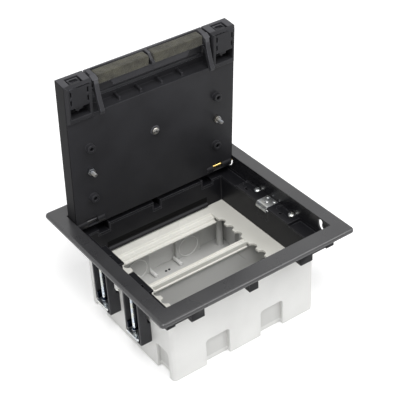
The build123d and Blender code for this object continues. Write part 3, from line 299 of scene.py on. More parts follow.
def cloud(nodes, links, where, size_mm, detail=3.0):
    """Noise with features of about the given size."""
    pattern = nodes.new("ShaderNodeTexNoise")
    pattern.inputs["Scale"].default_value = 1.0 / (size_mm * MM)
    pattern.inputs["Detail"].default_value = detail
    links.new(where, pattern.inputs["Vector"])
    return pattern.outputs["Fac"]


def two_tone(nodes, links, mask, dark, light, low=0.35, high=0.65):
    """A ramp from a dark to a light colour."""
    ramp = nodes.new("ShaderNodeValToRGB")
    ramp.color_ramp.elements[0].position = low
    ramp.color_ramp.elements[1].position = high
    ramp.color_ramp.elements[0].color = (*dark, 1.0)
    ramp.color_ramp.elements[1].color = (*light, 1.0)
    links.new(mask, ramp.inputs["Fac"])
    return ramp.outputs["Color"]


def spread(nodes, links, mask, low, high):
    """Maps a 0 to 1 mask on to a range of values."""
    mapped = nodes.new("ShaderNodeMapRange")
    mapped.inputs["From Min"].default_value = 0.3
    mapped.inputs["From Max"].default_value = 0.7
    mapped.inputs["To Min"].default_value = low
    mapped.inputs["To Max"].default_value = high
    links.new(mask, mapped.inputs["Value"])
    return mapped.outputs["Result"]


def edge_mask(nodes, links, radius_mm):
    """1 on edges, 0 on open faces: the cosine between two normals drops below 1 near an edge."""
    rounded_normal = nodes.new("ShaderNodeBevel")
    rounded_normal.samples = 4
    rounded_normal.inputs["Radius"].default_value = radius_mm * MM
    true_normal = nodes.new("ShaderNodeNewGeometry")
    same = nodes.new("ShaderNodeVectorMath")
    same.operation = "DOT_PRODUCT"
    links.new(rounded_normal.outputs["Normal"], same.inputs[0])
    links.new(true_normal.outputs["Normal"], same.inputs[1])
    mask = nodes.new("ShaderNodeMapRange")
    mask.inputs["From Min"].default_value = 0.99
    mask.inputs["From Max"].default_value = 0.80
    links.new(same.outputs["Value"], mask.inputs["Value"])
    return mask.outputs["Result"]


def mix_colour(nodes, links, mask, first, second):
    """Blends two colours by a mask."""
    mixer = nodes.new("ShaderNodeMix")
    mixer.data_type = "RGBA"
    links.new(mask, mixer.inputs["Factor"])
    links.new(first, mixer.inputs["A"])
    mixer.inputs["B"].default_value = (*second, 1.0)
    return mixer.outputs["Result"]


def add_bump(nodes, links, shader, height, depth_mm, strength=1.0):
    """Turns a pattern into relief."""
    relief = nodes.new("ShaderNodeBump")
    relief.inputs["Distance"].default_value = depth_mm * MM
    relief.inputs["Strength"].default_value = strength
    links.new(height, relief.inputs["Height"])
    links.new(relief.outputs["Normal"], shader.inputs["Normal"])
    return relief


def moulded_plastic(name, dark, light, gloss, grain_mm, grain_depth_mm, worn_and_lit_edge, shine=0.5, edge_mm=0.6):
    """Moulded plastic: drifting shade, mould grain, and paler edges that are partly wear and partly
    painted highlight.
    """
    material, nodes, links, shader, where = blank_surface(name)
    shader.inputs["Specular IOR Level"].default_value = shine
    drift = cloud(nodes, links, where, 45.0)
    grain = cloud(nodes, links, where, grain_mm, 2.0)
    colour = two_tone(nodes, links, drift, dark, light)
    # Paler edges: partly wear, partly painted highlight where light catches the rim.
    colour = mix_colour(nodes, links, edge_mask(nodes, links, edge_mm), colour, worn_and_lit_edge)
    links.new(colour, shader.inputs["Base Color"])
    links.new(spread(nodes, links, drift, *gloss), shader.inputs["Roughness"])
    add_bump(nodes, links, shader, grain, grain_depth_mm)
    return material


def within(nodes, links, where, x_ends, y_ends, z_ends):
    """1 inside a box and 0 outside, with x and y counted outwards from the middle, in millimetres."""
    place = nodes.new("ShaderNodeSeparateXYZ")
    links.new(where, place.inputs["Vector"])
    mask = None
    for axis, (low, high) in zip("XYZ", (x_ends, y_ends, z_ends)):
        value = place.outputs[axis]
        if axis != "Z":
            distance = nodes.new("ShaderNodeMath")
            distance.operation = "ABSOLUTE"
            links.new(value, distance.inputs[0])
            value = distance.outputs["Value"]
        test = nodes.new("ShaderNodeMath")
        test.operation = "COMPARE"
        links.new(value, test.inputs[0])
        test.inputs[1].default_value = (low + high) / 2 * MM
        test.inputs[2].default_value = (high - low) / 2 * MM
        if mask is None:
            mask = test.outputs["Value"]
            continue
        both = nodes.new("ShaderNodeMath")
        both.operation = "MULTIPLY"
        links.new(mask, both.inputs[0])
        links.new(test.outputs["Value"], both.inputs[1])
        mask = both.outputs["Value"]
    return mask


def polish_and_painted_light_within(material, x_ends, y_ends, z_ends, colour, roughness):
    """Gives the part of a plastic that lies in a box another colour and roughness, used here for a
    polished face and for painted light and shade.
    """
    nodes, links = material.node_tree.nodes, material.node_tree.links
    shader = nodes["Principled BSDF"]
    where = nodes["Texture Coordinate"].outputs["Object"]
    mask = within(nodes, links, where, x_ends, y_ends, z_ends)
    base = shader.inputs["Base Color"]
    links.new(mix_colour(nodes, links, mask, base.links[0].from_socket, colour), base)
    rough = shader.inputs["Roughness"]
    blend = nodes.new("ShaderNodeMix")
    links.new(mask, blend.inputs["Factor"])
    links.new(rough.links[0].from_socket, blend.inputs["A"])
    blend.inputs["B"].default_value = roughness
    links.new(blend.outputs["Result"], rough)


print("surface helpers ready")

# %% [markdown]
# ## The plastics
#
# The flange is a satin charcoal with a visible grain, the liner of the well is the same plastic
# with a polished face, the lid is nearly black, the box is a pale grey, and the frame for the
# modules is a glossy cream. Colours are written as the linear values that the renderer works with.

# %% The plastics
INSIDE_FRAME = ((0, 96.4), (0, 87.7), (0, FLOOR_LEVEL - 0.45))
SHADE_IN_CHANNELS = ((80, 96.6), (16.5, 38.3), (FLOOR_LEVEL - 77, FLOOR_LEVEL))
charcoal = moulded_plastic(
    "charcoal_plastic",
    dark=(0.027, 0.027, 0.029),
    light=(0.036, 0.036, 0.038),
    gloss=(0.24, 0.32),
    grain_mm=0.5,
    grain_depth_mm=0.02,
    worn_and_lit_edge=(0.08, 0.08, 0.087),
    shine=0.8,
)
polish_and_painted_light_within(charcoal, *INSIDE_FRAME, (0.012, 0.012, 0.014), 0.26)
guide_plastic = moulded_plastic(
    "guide_plastic",
    dark=(0.034, 0.034, 0.037),
    light=(0.046, 0.046, 0.050),
    gloss=(0.34, 0.46),
    grain_mm=0.5,
    grain_depth_mm=0.02,
    worn_and_lit_edge=(0.10, 0.10, 0.11),
    shine=0.2,
)
# Painted shade: deep inside the claw channels the guide plastic is painted near black.
polish_and_painted_light_within(guide_plastic, *SHADE_IN_CHANNELS, (0.004, 0.006, 0.011), 0.5)
print("plastics of the frame:", charcoal.name, guide_plastic.name)

# %% The plastics of the liner, the lid and the flap
ANYWHERE = (0, 200)
LID_TOP = (262.8, 275.0)
SHADE_UNDER_LINER_LIP = ((0, 61.5), (67.5, 71.05), (61.0, 67.0))
SHADED_LID_SIDES = ((93.7, 96), ANYWHERE, (0, 300))
LIT_LID_TOP_EDGE = ((0, 93.6), ANYWHERE, LID_TOP)
LIT_FLAP_TOP_EDGE = (ANYWHERE, ANYWHERE, LID_TOP)
LIT_FLAP_ARM_HEADS = ((58.3, 65.0), ANYWHERE, (256.0, LID_TOP[0]))
polished_black = moulded_plastic(
    "polished_black_plastic",
    dark=(0.010, 0.010, 0.012),
    light=(0.014, 0.014, 0.016),
    gloss=(0.30, 0.42),
    grain_mm=4.0,
    grain_depth_mm=0.01,
    worn_and_lit_edge=(0.11, 0.11, 0.12),
    shine=0.16,
    edge_mm=0.8,
)
# Painted shade: under the liner's rear lip the plastic is painted black and matt.
polish_and_painted_light_within(polished_black, *SHADE_UNDER_LINER_LIP, (0.003, 0.003, 0.003), 0.9)
lid_plastic = moulded_plastic(
    "lid_plastic",
    dark=(0.019, 0.019, 0.021),
    light=(0.026, 0.026, 0.029),
    gloss=(0.32, 0.44),
    grain_mm=0.6,
    grain_depth_mm=0.015,
    worn_and_lit_edge=(0.09, 0.09, 0.105),
    shine=0.16,
)
# Painted shade: the side faces of the lid are painted darker.
polish_and_painted_light_within(lid_plastic, *SHADED_LID_SIDES, (0.008, 0.008, 0.009), 0.6)
# Painted light: the top edge of the open lid, facing up, is painted paler and glossier.
polish_and_painted_light_within(lid_plastic, *LIT_LID_TOP_EDGE, (0.060, 0.060, 0.066), 0.24)
flap_plastic = moulded_plastic(
    "flap_plastic",
    dark=(0.026, 0.026, 0.029),
    light=(0.038, 0.038, 0.042),
    gloss=(0.32, 0.44),
    grain_mm=0.6,
    grain_depth_mm=0.015,
    worn_and_lit_edge=(0.17, 0.17, 0.19),
    shine=0.2,
)
# Painted light: the flap's top edge, facing up, is painted paler.
polish_and_painted_light_within(flap_plastic, *LIT_FLAP_TOP_EDGE, (0.060, 0.060, 0.066), 0.30)
# Painted highlight: the upturned heads of the flap arms are painted paler.
polish_and_painted_light_within(flap_plastic, *LIT_FLAP_ARM_HEADS, (0.070, 0.070, 0.076), 0.26)
print("plastics of the lid:", polished_black.name, lid_plastic.name, flap_plastic.name)

# %% The plastics of the box and the module frame
SHADE_INSIDE_BOX = ((0, 82.45), (0, 72.65), (5.4, 55.0))
pale_plastic = moulded_plastic(
    "pale_box_plastic",
    dark=(0.68, 0.68, 0.665),
    light=(0.74, 0.74, 0.725),
    gloss=(0.36, 0.50),
    grain_mm=0.8,
    grain_depth_mm=0.02,
    worn_and_lit_edge=(0.84, 0.84, 0.83),
)
# Painted shade: the inside of the pale box is painted a darker grey than its outside.
polish_and_painted_light_within(pale_plastic, *SHADE_INSIDE_BOX, (0.58, 0.58, 0.565), 0.42)
cream_plastic = moulded_plastic(
    "cream_frame_plastic",
    dark=(0.72, 0.71, 0.655),
    light=(0.78, 0.77, 0.715),
    gloss=(0.20, 0.30),
    grain_mm=3.0,
    grain_depth_mm=0.01,
    worn_and_lit_edge=(0.86, 0.85, 0.81),
)
# Painted highlight: beads and pegs take a paler copy of the box plastic, free of the painted shade
# inside the box.
highlit_bead_plastic = moulded_plastic(
    "highlit_bead_plastic",
    dark=(0.80, 0.80, 0.785),
    light=(0.86, 0.86, 0.845),
    gloss=(0.10, 0.18),
    grain_mm=0.8,
    grain_depth_mm=0.01,
    worn_and_lit_edge=(0.80, 0.80, 0.79),
)
print("plastics of the box:", pale_plastic.name, cream_plastic.name, highlit_bead_plastic.name)

# %% [markdown]
# ## The metals and the coated plate
#
# Zinc plating is a soft blue-grey with a faint yellow haze and small crystals. The screws of the
# lid are older and greyer, and the arms of the claws are painted near black as painted shade,
# because they stand deep in their channels. The right hinge pin is brass and the left one is
# blackened steel. The cover plate in the top of the lid is sheet steel with a fine powder coat,
# whose texture is a tight orange peel.

# %% The metals
SHADED_CLAW_ARM = ((0, 110), (0, 50), (FLOOR_LEVEL - 71.0, FLOOR_LEVEL))


def plated_metal(name, blue, yellow, roughness, grain_mm):
    """Plated steel with a two-colour haze and a fine crystal grain."""
    material, nodes, links, shader, where = blank_surface(name)
    haze = cloud(nodes, links, where, 6.0)
    grain = cloud(nodes, links, where, grain_mm, 4.0)
    links.new(two_tone(nodes, links, haze, blue, yellow), shader.inputs["Base Color"])
    links.new(spread(nodes, links, grain, *roughness), shader.inputs["Roughness"])
    shader.inputs["Metallic"].default_value = 1.0
    add_bump(nodes, links, shader, grain, 0.01)
    return material


zinc = plated_metal("zinc_plating", (0.66, 0.72, 0.80), (0.80, 0.80, 0.72), (0.20, 0.36), 0.7)
satin_zinc = plated_metal(
    "satin_zinc_plating", (0.60, 0.63, 0.66), (0.72, 0.72, 0.68), (0.32, 0.44), 0.9
)
claw_zinc = plated_metal(
    "claw_zinc_plating", (0.70, 0.75, 0.80), (0.80, 0.80, 0.76), (0.22, 0.36), 0.8
)
# Painted shade: the claw arms, deep in their channels, are painted near black.
polish_and_painted_light_within(claw_zinc, *SHADED_CLAW_ARM, (0.010, 0.016, 0.030), 0.3)
aged_zinc = plated_metal(
    "aged_zinc_plating", (0.24, 0.25, 0.27), (0.36, 0.34, 0.30), (0.26, 0.42), 0.6
)
brass = plated_metal("drawn_brass", (0.62, 0.44, 0.14), (0.78, 0.60, 0.24), (0.16, 0.30), 0.5)
black_steel = plated_metal(
    "blackened_steel", (0.05, 0.05, 0.055), (0.09, 0.09, 0.09), (0.3, 0.45), 0.4
)
print("metals:", [m.name for m in (zinc, satin_zinc, claw_zinc, aged_zinc, brass, black_steel)])

# %% The coated plate
powder_coat, nodes, links, shader, where = blank_surface("powder_coat")
peel = nodes.new("ShaderNodeTexVoronoi")
peel.feature = "SMOOTH_F1"
peel.inputs["Scale"].default_value = 1.0 / (0.9 * MM)
links.new(where, peel.inputs["Vector"])
drift = cloud(nodes, links, where, 40.0)
colour = two_tone(nodes, links, drift, (0.050, 0.051, 0.054), (0.064, 0.065, 0.069))
edges = edge_mask(nodes, links, 0.6)
# Paler edges of the coat: partly wear, partly painted edge highlight.
colour = mix_colour(nodes, links, edges, colour, (0.13, 0.13, 0.14))
links.new(colour, shader.inputs["Base Color"])
links.new(spread(nodes, links, drift, 0.46, 0.58), shader.inputs["Roughness"])
add_bump(nodes, links, shader, peel.outputs["Distance"], 0.04)
print("coated plate:", powder_coat.name)

# %% Give every CAD node and every rounded copy its surface
surface_of_slot = {
    "dark_plastic": charcoal,
    "black_plastic": polished_black,
    "lid_plastic": lid_plastic,
    "black_steel": black_steel,
    "coated_steel": powder_coat,
    "grey_plastic": pale_plastic,
    "cream_plastic": cream_plastic,
    "zinc": zinc,
    "brass": brass,
}
surface_of_node = {
    "cable_flap": flap_plastic,
    "earth_bracket": satin_zinc,
    "bracket_rivets": satin_zinc,
    "lid_nuts": aged_zinc,
    "flap_pins": black_steel,
}
for place in PLACES:
    surface_of_node["claw_guide_" + place] = guide_plastic
    surface_of_node["claw_" + place] = claw_zinc


def dress(piece, surface):
    """One surface on a whole piece."""
    piece.data.materials.clear()
    piece.data.materials.append(surface)


for row in frame["record"]["subparts"]:
    node = row["node"]
    surface = surface_of_node.get(node) or surface_of_slot.get(row["material_slot"])
    for piece in (frame["nodes"][node], rounded.get(node)):
        if piece is not None and surface is not None:
            dress(piece, surface)

# %% [markdown]
# ## Claw screws
#
# Four long M4 screws pull the claws up under the floor. A thread is a ridge that climbs by one
# pitch in each turn, so a short zigzag line is spun round the screw's axis while it is moved down.
# A stack of rings would be easier, but it would not be a helix. The head is a pan head with a
# cross recess.

# %% Thread
THREAD_PITCH = 0.7
THREAD_OUTER = 1.98
THREAD_INNER = 1.60
THREAD_STEPS = 18


def threaded_rod(bm, x, y, top, bottom):
    """A closed helical thread between two heights."""
    turns = int((top - bottom) / THREAD_PITCH) - 1
    profile = [
        (THREAD_INNER, 0.0),
        (THREAD_INNER, -0.1 * THREAD_PITCH),
        (THREAD_OUTER, -0.5 * THREAD_PITCH),
        (THREAD_OUTER, -0.6 * THREAD_PITCH),
        (THREAD_INNER, -THREAD_PITCH),
    ]
    points = [bm.verts.new((x + r, y, top + z)) for r, z in profile]
    edges = [bm.edges.new(pair) for pair in zip(points, points[1:])]
    bmesh.ops.spin(
        bm,
        geom=points + edges,
        cent=(x, y, 0.0),
        axis=(0.0, 0.0, 1.0),
        angle=2 * math.pi * turns,
        dvec=(0.0, 0.0, -THREAD_PITCH / THREAD_STEPS),
        steps=THREAD_STEPS * turns,
    )
    bmesh.ops.remove_doubles(bm, verts=bm.verts, dist=0.001)
    rim = [e for e in bm.edges if e.is_boundary]
    bmesh.ops.holes_fill(bm, edges=rim, sides=0)
    return turns


print("thread pitch (mm):", THREAD_PITCH)

# %% Screw head
HEAD_RADIUS = 3.8
HEAD_HEIGHT = 2.6
CROSS_SIZE = (4.4, 0.95, 3.0)
CROSS_TAPER = (0.45, 0.6, 1.0)


def cut_away(body_bm, tool_bm):
    """What is left of one closed bmesh after another is cut out of it."""
    things = []
    for bm in (body_bm, tool_bm):
        bmesh.ops.recalc_face_normals(bm, faces=bm.faces)
        mesh = bpy.data.meshes.new("cut")
        bm.to_mesh(mesh)
        bm.free()
        things.append(bpy.data.objects.new("cut", mesh))
        bpy.context.scene.collection.objects.link(things[-1])
    cut = things[0].modifiers.new("cut", "BOOLEAN")
    cut.operation = "DIFFERENCE"
    cut.solver = "EXACT"
    cut.object = things[1]
    depsgraph = bpy.context.evaluated_depsgraph_get()
    shape = bpy.data.meshes.new_from_object(things[0].evaluated_get(depsgraph))
    left = bmesh.new()
    left.from_mesh(shape)
    for thing in things:
        bpy.data.meshes.remove(thing.data)
    bpy.data.meshes.remove(shape)
    return left


def pan_head(x, y, underside, turn):
    """A domed head with a tapered cross recess."""
    outline = [
        (0.0, HEAD_HEIGHT),
        (1.2, HEAD_HEIGHT - 0.05),
        (2.2, HEAD_HEIGHT - 0.25),
        (3.0, HEAD_HEIGHT - 0.62),
        (3.5, HEAD_HEIGHT - 1.15),
        (HEAD_RADIUS, HEAD_HEIGHT - 1.8),
        (HEAD_RADIUS - 0.05, 0.12),
        (HEAD_RADIUS - 0.2, 0.0),
        (0.0, 0.0),
    ]
    head = bmesh.new()
    spun(head, outline, (0.0, 0.0, 0.0))
    cross = bmesh.new()
    arm = bmesh.ops.create_cube(cross, size=1.0)["verts"]
    bmesh.ops.scale(cross, vec=CROSS_SIZE, verts=arm)
    bmesh.ops.scale(cross, vec=CROSS_TAPER, verts=[v for v in arm if v.co.z < 0])
    bmesh.ops.translate(cross, vec=(0.0, 0.0, HEAD_HEIGHT), verts=arm)
    bmesh.ops.recalc_face_normals(cross, faces=cross.faces)
    for angle in (turn, turn + math.pi / 2):
        tool = cross.copy()
        turned = Matrix.Rotation(angle, 3, "Z")
        bmesh.ops.rotate(tool, verts=tool.verts, cent=(0, 0, 0), matrix=turned)
        head = cut_away(head, tool)
    cross.free()
    bmesh.ops.translate(head, vec=(x, y, underside), verts=head.verts)
    return head


print("head height (mm):", HEAD_HEIGHT)

# %% Claw screws
SCREW_X = 92.2
SCREW_OFFSET = 4.4
GUIDE_Y = 27.4
HEAD_UNDER = FLOOR_LEVEL - 18.8
SCREW_FOOT = FLOOR_LEVEL - 78.7
HEAD_TURN = math.radians(30)
ROD_IN_HEAD = 0.3

claw_screws = []
for place in PLACES:
    x_side = -1 if place.startswith("left") else 1
    y_side = -1 if place.endswith("front") else 1
    x = x_side * SCREW_X
    y = y_side * GUIDE_Y - x_side * SCREW_OFFSET
    bm = bmesh.new()
    turns = threaded_rod(bm, x, y, HEAD_UNDER + ROD_IN_HEAD, SCREW_FOOT)
    head = pan_head(x, y, HEAD_UNDER, HEAD_TURN)
    head_mesh = bpy.data.meshes.new("head")
    head.to_mesh(head_mesh)
    head.free()
    bm.from_mesh(head_mesh)
    bpy.data.meshes.remove(head_mesh)
    screw = finish_piece(
        bm,
        "claw_screw_thread_" + place,
        place + "_claw_screw",
        stands_for=["claw_screw_" + place],
    )
    dress(screw, zinc)
    screw.data.materials.append(satin_zinc)
    for face in screw.data.polygons:
        if face.center.z > HEAD_UNDER * MM:
            face.material_index = 1
    claw_screws.append(screw)
print("screws:", len(claw_screws), "turns each:", turns)

# %% [markdown]
# ## Screws of the lid
#
# Two studs with nuts and one screw in the middle hold the cover plate. They get the same thread and
# the same kind of head as the claw screws, only drawn flat on the lid with the lid's ruler. The
# middle screw sits on a thin dished washer, which is a short profile spun once round.

# %% Screws of the lid
STUD_PLACE = (73.6, 63.4)
STUD_ENDS = (2.6, 26.0)
LID_SCREW_V = 79.6
LID_UNDERSIDE = 16.0
LID_SCREW_TURN = math.radians(12)
WASHER_RADIUS = 5.0
WASHER_HEIGHT = 0.7
WASHER_BORE = 2.2
HEAD_SINK = 0.2

bm = bmesh.new()
for x_side in (-1, 1):
    threaded_rod(bm, x_side * STUD_PLACE[0], STUD_PLACE[1], STUD_ENDS[1], STUD_ENDS[0])
studs = finish_piece(bm, "lid_stud_threads", "lid", stands_for=["lid_studs"], ruler=on_the_lid)
dress(studs, aged_zinc)

head_seat = LID_UNDERSIDE + WASHER_HEIGHT - HEAD_SINK
bm = pan_head(0.0, LID_SCREW_V, head_seat, LID_SCREW_TURN)
lid_screw = finish_piece(
    bm, "lid_screw_head", "lid", stands_for=["lid_centre_screw"], ruler=on_the_lid
)
dress(lid_screw, aged_zinc)

washer_outline = [
    (WASHER_RADIUS, 0.02),
    (WASHER_RADIUS - 0.15, WASHER_HEIGHT * 0.7),
    (WASHER_RADIUS - 0.7, WASHER_HEIGHT),
    (HEAD_RADIUS + 0.25, WASHER_HEIGHT - 0.35),
    (WASHER_BORE, WASHER_HEIGHT - 0.45),
    (WASHER_BORE, 0.02),
]
bm = bmesh.new()
centre = (0.0, LID_SCREW_V, LID_UNDERSIDE)
spun(bm, washer_outline + washer_outline[:1], centre, steps=48)
washer = finish_piece(bm, "lid_screw_washer", "lid", ruler=on_the_lid)
dress(washer, flap_plastic)
print("screws of the lid:", studs.name, lid_screw.name, washer.name)

# %% [markdown]
# ## Small things in the pale box
#
# Each knock-out has a raised bead round its score line, and its round top catches a bright arc of
# light. Two pegs stand out of the foot of the rear wall to tie cables to, and two plugs close the
# drain holes. A bead is a small circle spun round the knock-out's centre, and a peg or a plug is
# half of its outline spun round its own axis. A flat texture would show none of the highlights.
# Beads and pegs are coloured paler than the box itself, and that paleness is painted highlight.

# %% Beads round the knock-outs
KNOCKOUT_PLACE = (32.5, 67.9, 17.75)
BEAD_RADIUS = 11.95
BEAD_THICKNESS = 0.7
BEAD_STEPS = 56

bead = [
    (
        BEAD_RADIUS + BEAD_THICKNESS * math.cos(math.radians(turn)),
        BEAD_THICKNESS * math.sin(math.radians(turn)),
    )
    for turn in range(0, 361, 45)
]
for y_side, name in ((-1, "front"), (1, "rear")):
    bm = bmesh.new()
    for x_side in (-1, 1):
        centre = (x_side * KNOCKOUT_PLACE[0], y_side * KNOCKOUT_PLACE[1], KNOCKOUT_PLACE[2])
        spun(bm, bead, centre, (0, -y_side, 0), steps=BEAD_STEPS)
    beads = finish_piece(bm, "knockout_beads_" + name, "housing")
    dress(beads, highlit_bead_plastic)
    print(beads.name, "faces:", len(beads.data.polygons))

# %% Pegs and plugs
BOX_FLOOR = 5.5
PEG_X = 15.8
PEG_RADIUS = 2.1
PEG_BEVEL = 0.5
PEG_ENDS = (72.6, 57.5)
PEG_GAP = 0.05
PLUG_PLACE = (2.0, 60.5)
PLUG_OUTLINE = ((0.0, 0.9), (0.8, 0.8), (1.3, 0.4), (1.4, 0.0), (0.0, 0.0))

peg_length = PEG_ENDS[0] - PEG_ENDS[1]
peg_outline = [
    (0.0, peg_length),
    (PEG_RADIUS - PEG_BEVEL, peg_length),
    (PEG_RADIUS, peg_length - PEG_BEVEL),
    (PEG_RADIUS, 0.0),
    (0.0, 0.0),
]
bm = bmesh.new()
for x_side in (-1, 1):
    foot = (x_side * PEG_X, PEG_ENDS[0], BOX_FLOOR + PEG_RADIUS + PEG_GAP)
    spun(bm, peg_outline, foot, (0, -1, 0), steps=24)
pegs = finish_piece(bm, "cable_pegs", "housing")
dress(pegs, highlit_bead_plastic)

bm = bmesh.new()
for x_side in (-1, 1):
    spun(bm, PLUG_OUTLINE, (x_side * PLUG_PLACE[0], PLUG_PLACE[1], BOX_FLOOR), steps=20)
plugs = finish_piece(bm, "drain_plugs", "housing")
dress(plugs, flap_plastic)
print("small things:", pegs.name, plugs.name)

# %% [markdown]
# ## Foam strips
#
# Two strips of open-cell foam close the cable slot behind the flap and squeeze around the cables.
# Foam is soft, so its faces crown a little and its edges are round and never quite straight. A
# block is bevelled, cut finely and pushed about by noise. Cloth simulation would add nothing here,
# since the foam is glued flat on two sides.

# %% Foam strips
LID_FRONT = 163.87
FOAM_HEEL = LID_FRONT - 11.0
FOAM_LENGTH = 10.0
FOAM_W = (3.0, 14.0)
FOAM_X = (2.5, 58.0)
FOAM_MARGIN = (0.15, 0.1, 0.1)
FOAM_GLUE = 0.02
FOAM_CUTS = (56, 12, 12)
FOAM_WAVES = ((0.35, 0.18), (1.1, 0.10))


def foam_strip(bm, x_ends):
    """One strip with soft edges and a slightly uneven skin."""
    low = (min(x_ends) + FOAM_MARGIN[0], FOAM_HEEL + FOAM_MARGIN[1], FOAM_W[0] + FOAM_GLUE)
    high = (
        max(x_ends) - FOAM_MARGIN[0],
        FOAM_HEEL + FOAM_LENGTH - FOAM_MARGIN[1],
        FOAM_W[1] - FOAM_MARGIN[2],
    )
    made = bmesh.ops.create_cube(bm, size=1.0)
    size = [b - a for a, b in zip(low, high)]
    middle = [(a + b) / 2 for a, b in zip(low, high)]
    bmesh.ops.scale(bm, vec=size, verts=made["verts"])
    bmesh.ops.translate(bm, vec=middle, verts=made["verts"])
    for axis, cuts in enumerate(FOAM_CUTS):
        span = high[axis] - low[axis]
        normal = [0.0, 0.0, 0.0]
        normal[axis] = 1.0
        for step in range(1, cuts):
            point = list(middle)
            point[axis] = low[axis] + span * step / cuts
            bmesh.ops.bisect_plane(
                bm, geom=bm.verts[:] + bm.edges[:] + bm.faces[:], plane_co=point, plane_no=normal
            )
    for _ in range(3):
        bmesh.ops.smooth_vert(
            bm, verts=bm.verts, factor=0.35, use_axis_x=True, use_axis_y=True, use_axis_z=True
        )
    for vert in bm.verts:
        place = vert.co.copy()
        for pace, reach in FOAM_WAVES:
            vert.co += noise.noise_vector(place * pace) * reach
        vert.co.z = max(vert.co.z, FOAM_W[0] + FOAM_GLUE)


foam_strips = []
for side in SIDES:
    turn = -1 if side == "left" else 1
    bm = bmesh.new()
    foam_strip(bm, (turn * FOAM_X[0], turn * FOAM_X[1]))
    strip = finish_piece(
        bm,
        "foam_" + side,
        "flap",
        stands_for=["foam_strip_" + side],
        ruler=on_the_lid,
    )
    foam_strips.append(strip)
print("foam strips:", len(foam_strips))

# %% Foam surface
foam, nodes, links, shader, where = blank_surface("cell_foam")
cells = nodes.new("ShaderNodeTexVoronoi")
cells.inputs["Scale"].default_value = 1.0 / (0.9 * MM)
links.new(where, cells.inputs["Vector"])
drift = cloud(nodes, links, where, 9.0, 5.0)
links.new(
    two_tone(nodes, links, drift, (0.026, 0.024, 0.016), (0.055, 0.052, 0.035)),
    shader.inputs["Base Color"],
)
shader.inputs["Roughness"].default_value = 0.95
shader.inputs["Sheen Weight"].default_value = 0.25
add_bump(nodes, links, shader, cells.outputs["Distance"], 0.35)
for strip in foam_strips:
    dress(strip, foam)
for side in SIDES:
    dress(frame["nodes"]["foam_strip_" + side], foam)
print("foam surface:", foam.name)

# %% [markdown]
# ## Seal at the flap's heel
#
# The gap between the flap's heel and the lid lets the flap swing, and daylight would show through it
# as a white line. A thin strip on the flap reaches just under the lid's lip and shuts it out. It is
# short enough to swing clear of the four ribs.

# %% Seal at the flap's heel
SEAL_LOW = (-65.5, 133.3, 3.05)
SEAL_HIGH = (65.5, 137.0, 3.6)
SEAL_EDGE = 0.12

bm = bmesh.new()
round_block(bm, SEAL_LOW, SEAL_HIGH, SEAL_EDGE)
seal = finish_piece(bm, "flap_heel_seal", "flap", ruler=on_the_lid)
dress(seal, flap_plastic)
print("seal faces:", len(seal.data.polygons))

# %% [markdown]
# ## Floor and background
#
# The photograph is taken on a white sweep. A very large pale disc gives the floor its soft shadow,
# and the world is white for the camera and for reflections, while its diffuse light is lower so
# that pale plastic keeps its modelling.

# %% Floor
FLOOR_RADIUS = 12.0
FLOOR_DROP = 0.0005
FLOOR_GLOW = 0.28

bm = bmesh.new()
bmesh.ops.create_circle(bm, cap_ends=True, segments=96, radius=FLOOR_RADIUS)
floor_mesh = bpy.data.meshes.new("floor")
bm.to_mesh(floor_mesh)
bm.free()
floor = bpy.data.objects.new("floor", floor_mesh)
floor.location.z = -FLOOR_DROP
bpy.context.scene.collection.objects.link(floor)

floor_surface, nodes, links, shader, where = blank_surface("white_floor")
shader.inputs["Base Color"].default_value = (0.96, 0.96, 0.96, 1.0)
shader.inputs["Roughness"].default_value = 0.9
shader.inputs["Specular IOR Level"].default_value = 0.1
shader.inputs["Emission Color"].default_value = (1.0, 1.0, 1.0, 1.0)
camera_only = nodes.new("ShaderNodeLightPath")
glow = nodes.new("ShaderNodeMath")
glow.operation = "MULTIPLY"
glow.inputs[1].default_value = FLOOR_GLOW
links.new(camera_only.outputs["Is Camera Ray"], glow.inputs[0])
links.new(glow.outputs["Value"], shader.inputs["Emission Strength"])
dress(floor, floor_surface)
print("floor radius (m):", FLOOR_RADIUS)

# %% Background
WORLD_FILL = 0.55

world = bpy.data.worlds.new("white_studio")
world.use_nodes = True
bpy.context.scene.world = world
nodes = world.node_tree.nodes
links = world.node_tree.links
fill_light = nodes["Background"]
fill_light.inputs["Color"].default_value = (1.0, 1.0, 1.0, 1.0)
fill_light.inputs["Strength"].default_value = WORLD_FILL
seen_white = nodes.new("ShaderNodeBackground")
seen_white.inputs["Color"].default_value = (1.0, 1.0, 1.0, 1.0)
seen_white.inputs["Strength"].default_value = 1.0
rays = nodes.new("ShaderNodeLightPath")
seen = rays.outputs["Is Camera Ray"]
for kind in ("Is Glossy Ray", "Is Transmission Ray"):
    either = nodes.new("ShaderNodeMath")
    either.operation = "MAXIMUM"
    links.new(seen, either.inputs[0])
    links.new(rays.outputs[kind], either.inputs[1])
    seen = either.outputs["Value"]
chooser = nodes.new("ShaderNodeMixShader")
links.new(seen, chooser.inputs["Fac"])
links.new(fill_light.outputs["Background"], chooser.inputs[1])
links.new(seen_white.outputs["Background"], chooser.inputs[2])
links.new(chooser.outputs["Shader"], nodes["World Output"].inputs["Surface"])
print("world strength for diffuse light:", WORLD_FILL)

# %% [markdown]
# ## Lamps
#
# One large soft lamp stands high on the right in front, because the right front wall of the pale
# box is the brightest one in the photograph. A weaker one on the left lifts the shadows, and one
# nearly overhead looks down into the well, where the open lid keeps out the rest.

# %% Lamps
LAMP_TARGET = (0.0, 0.0, 0.1)
LAMPS = {
    "key_lamp": ((1.0, -1.1, 1.5), 1.0, 11.5),
    "side_lamp": ((-1.6, -0.4, 1.1), 1.2, 5.0),
    "top_lamp": ((-0.35, -0.7, 1.7), 0.7, 17.0),
}


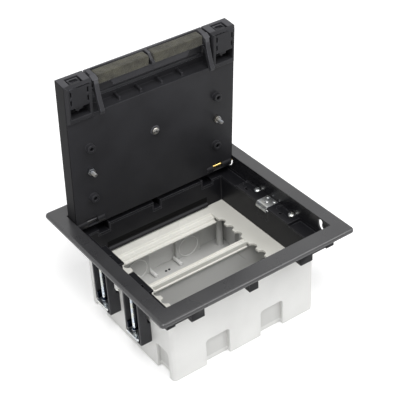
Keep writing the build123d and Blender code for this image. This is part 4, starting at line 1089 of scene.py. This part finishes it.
def soft_lamp(name, place, size, power):
    """A square lamp that faces the middle of the box."""
    lamp = bpy.data.lights.new(name, "AREA")
    lamp.shape = "SQUARE"
    lamp.size = size
    lamp.energy = power
    holder = bpy.data.objects.new(name, lamp)
    holder.location = place
    direction = Vector(LAMP_TARGET) - Vector(place)
    holder.rotation_euler = direction.to_track_quat("-Z", "Y").to_euler()
    bpy.context.scene.collection.objects.link(holder)


for name, (place, size, power) in LAMPS.items():
    soft_lamp(name, place, size, power)
print("lamps:", len(LAMPS))

# %% [markdown]
# ## Camera
#
# The camera was fitted to about forty edges of the photograph. It looks down at the front left
# corner from about a metre away, with a long lens and a slight roll.

# %% Camera
CAMERA_AZIMUTH = math.radians(-33.7)
CAMERA_ELEVATION = math.radians(35.9)
CAMERA_ROLL = math.radians(-3.17)
CAMERA_DISTANCE = 1040.0
CAMERA_SLIDE = (3.46, 19.69)
CAMERA_LENS = 97.2

towards_camera = Vector(
    (
        math.sin(CAMERA_AZIMUTH) * math.cos(CAMERA_ELEVATION),
        -math.cos(CAMERA_AZIMUTH) * math.cos(CAMERA_ELEVATION),
        math.sin(CAMERA_ELEVATION),
    )
)
level_right = (-towards_camera).cross(Vector((0, 0, 1))).normalized()
level_up = level_right.cross(-towards_camera)
right = level_right * math.cos(CAMERA_ROLL) + level_up * math.sin(CAMERA_ROLL)
up = level_up * math.cos(CAMERA_ROLL) - level_right * math.sin(CAMERA_ROLL)
eye = (
    Vector((0, 0, FLOOR_LEVEL))
    + towards_camera * CAMERA_DISTANCE
    + right * CAMERA_SLIDE[0]
    + up * CAMERA_SLIDE[1]
)
lens = bpy.data.cameras.new("camera")
lens.lens = CAMERA_LENS
lens.sensor_width = 36.0
lens.clip_start = 0.05
camera = bpy.data.objects.new("camera", lens)
pose = Matrix((right, up, towards_camera)).transposed().to_4x4()
pose.translation = eye * MM
camera.matrix_world = pose
bpy.context.scene.collection.objects.link(camera)
bpy.context.scene.camera = camera
bpy.context.scene.view_settings.view_transform = "Standard"
print("camera at (m):", [round(c, 3) for c in pose.translation])

# %% Finish
print("scene ready")
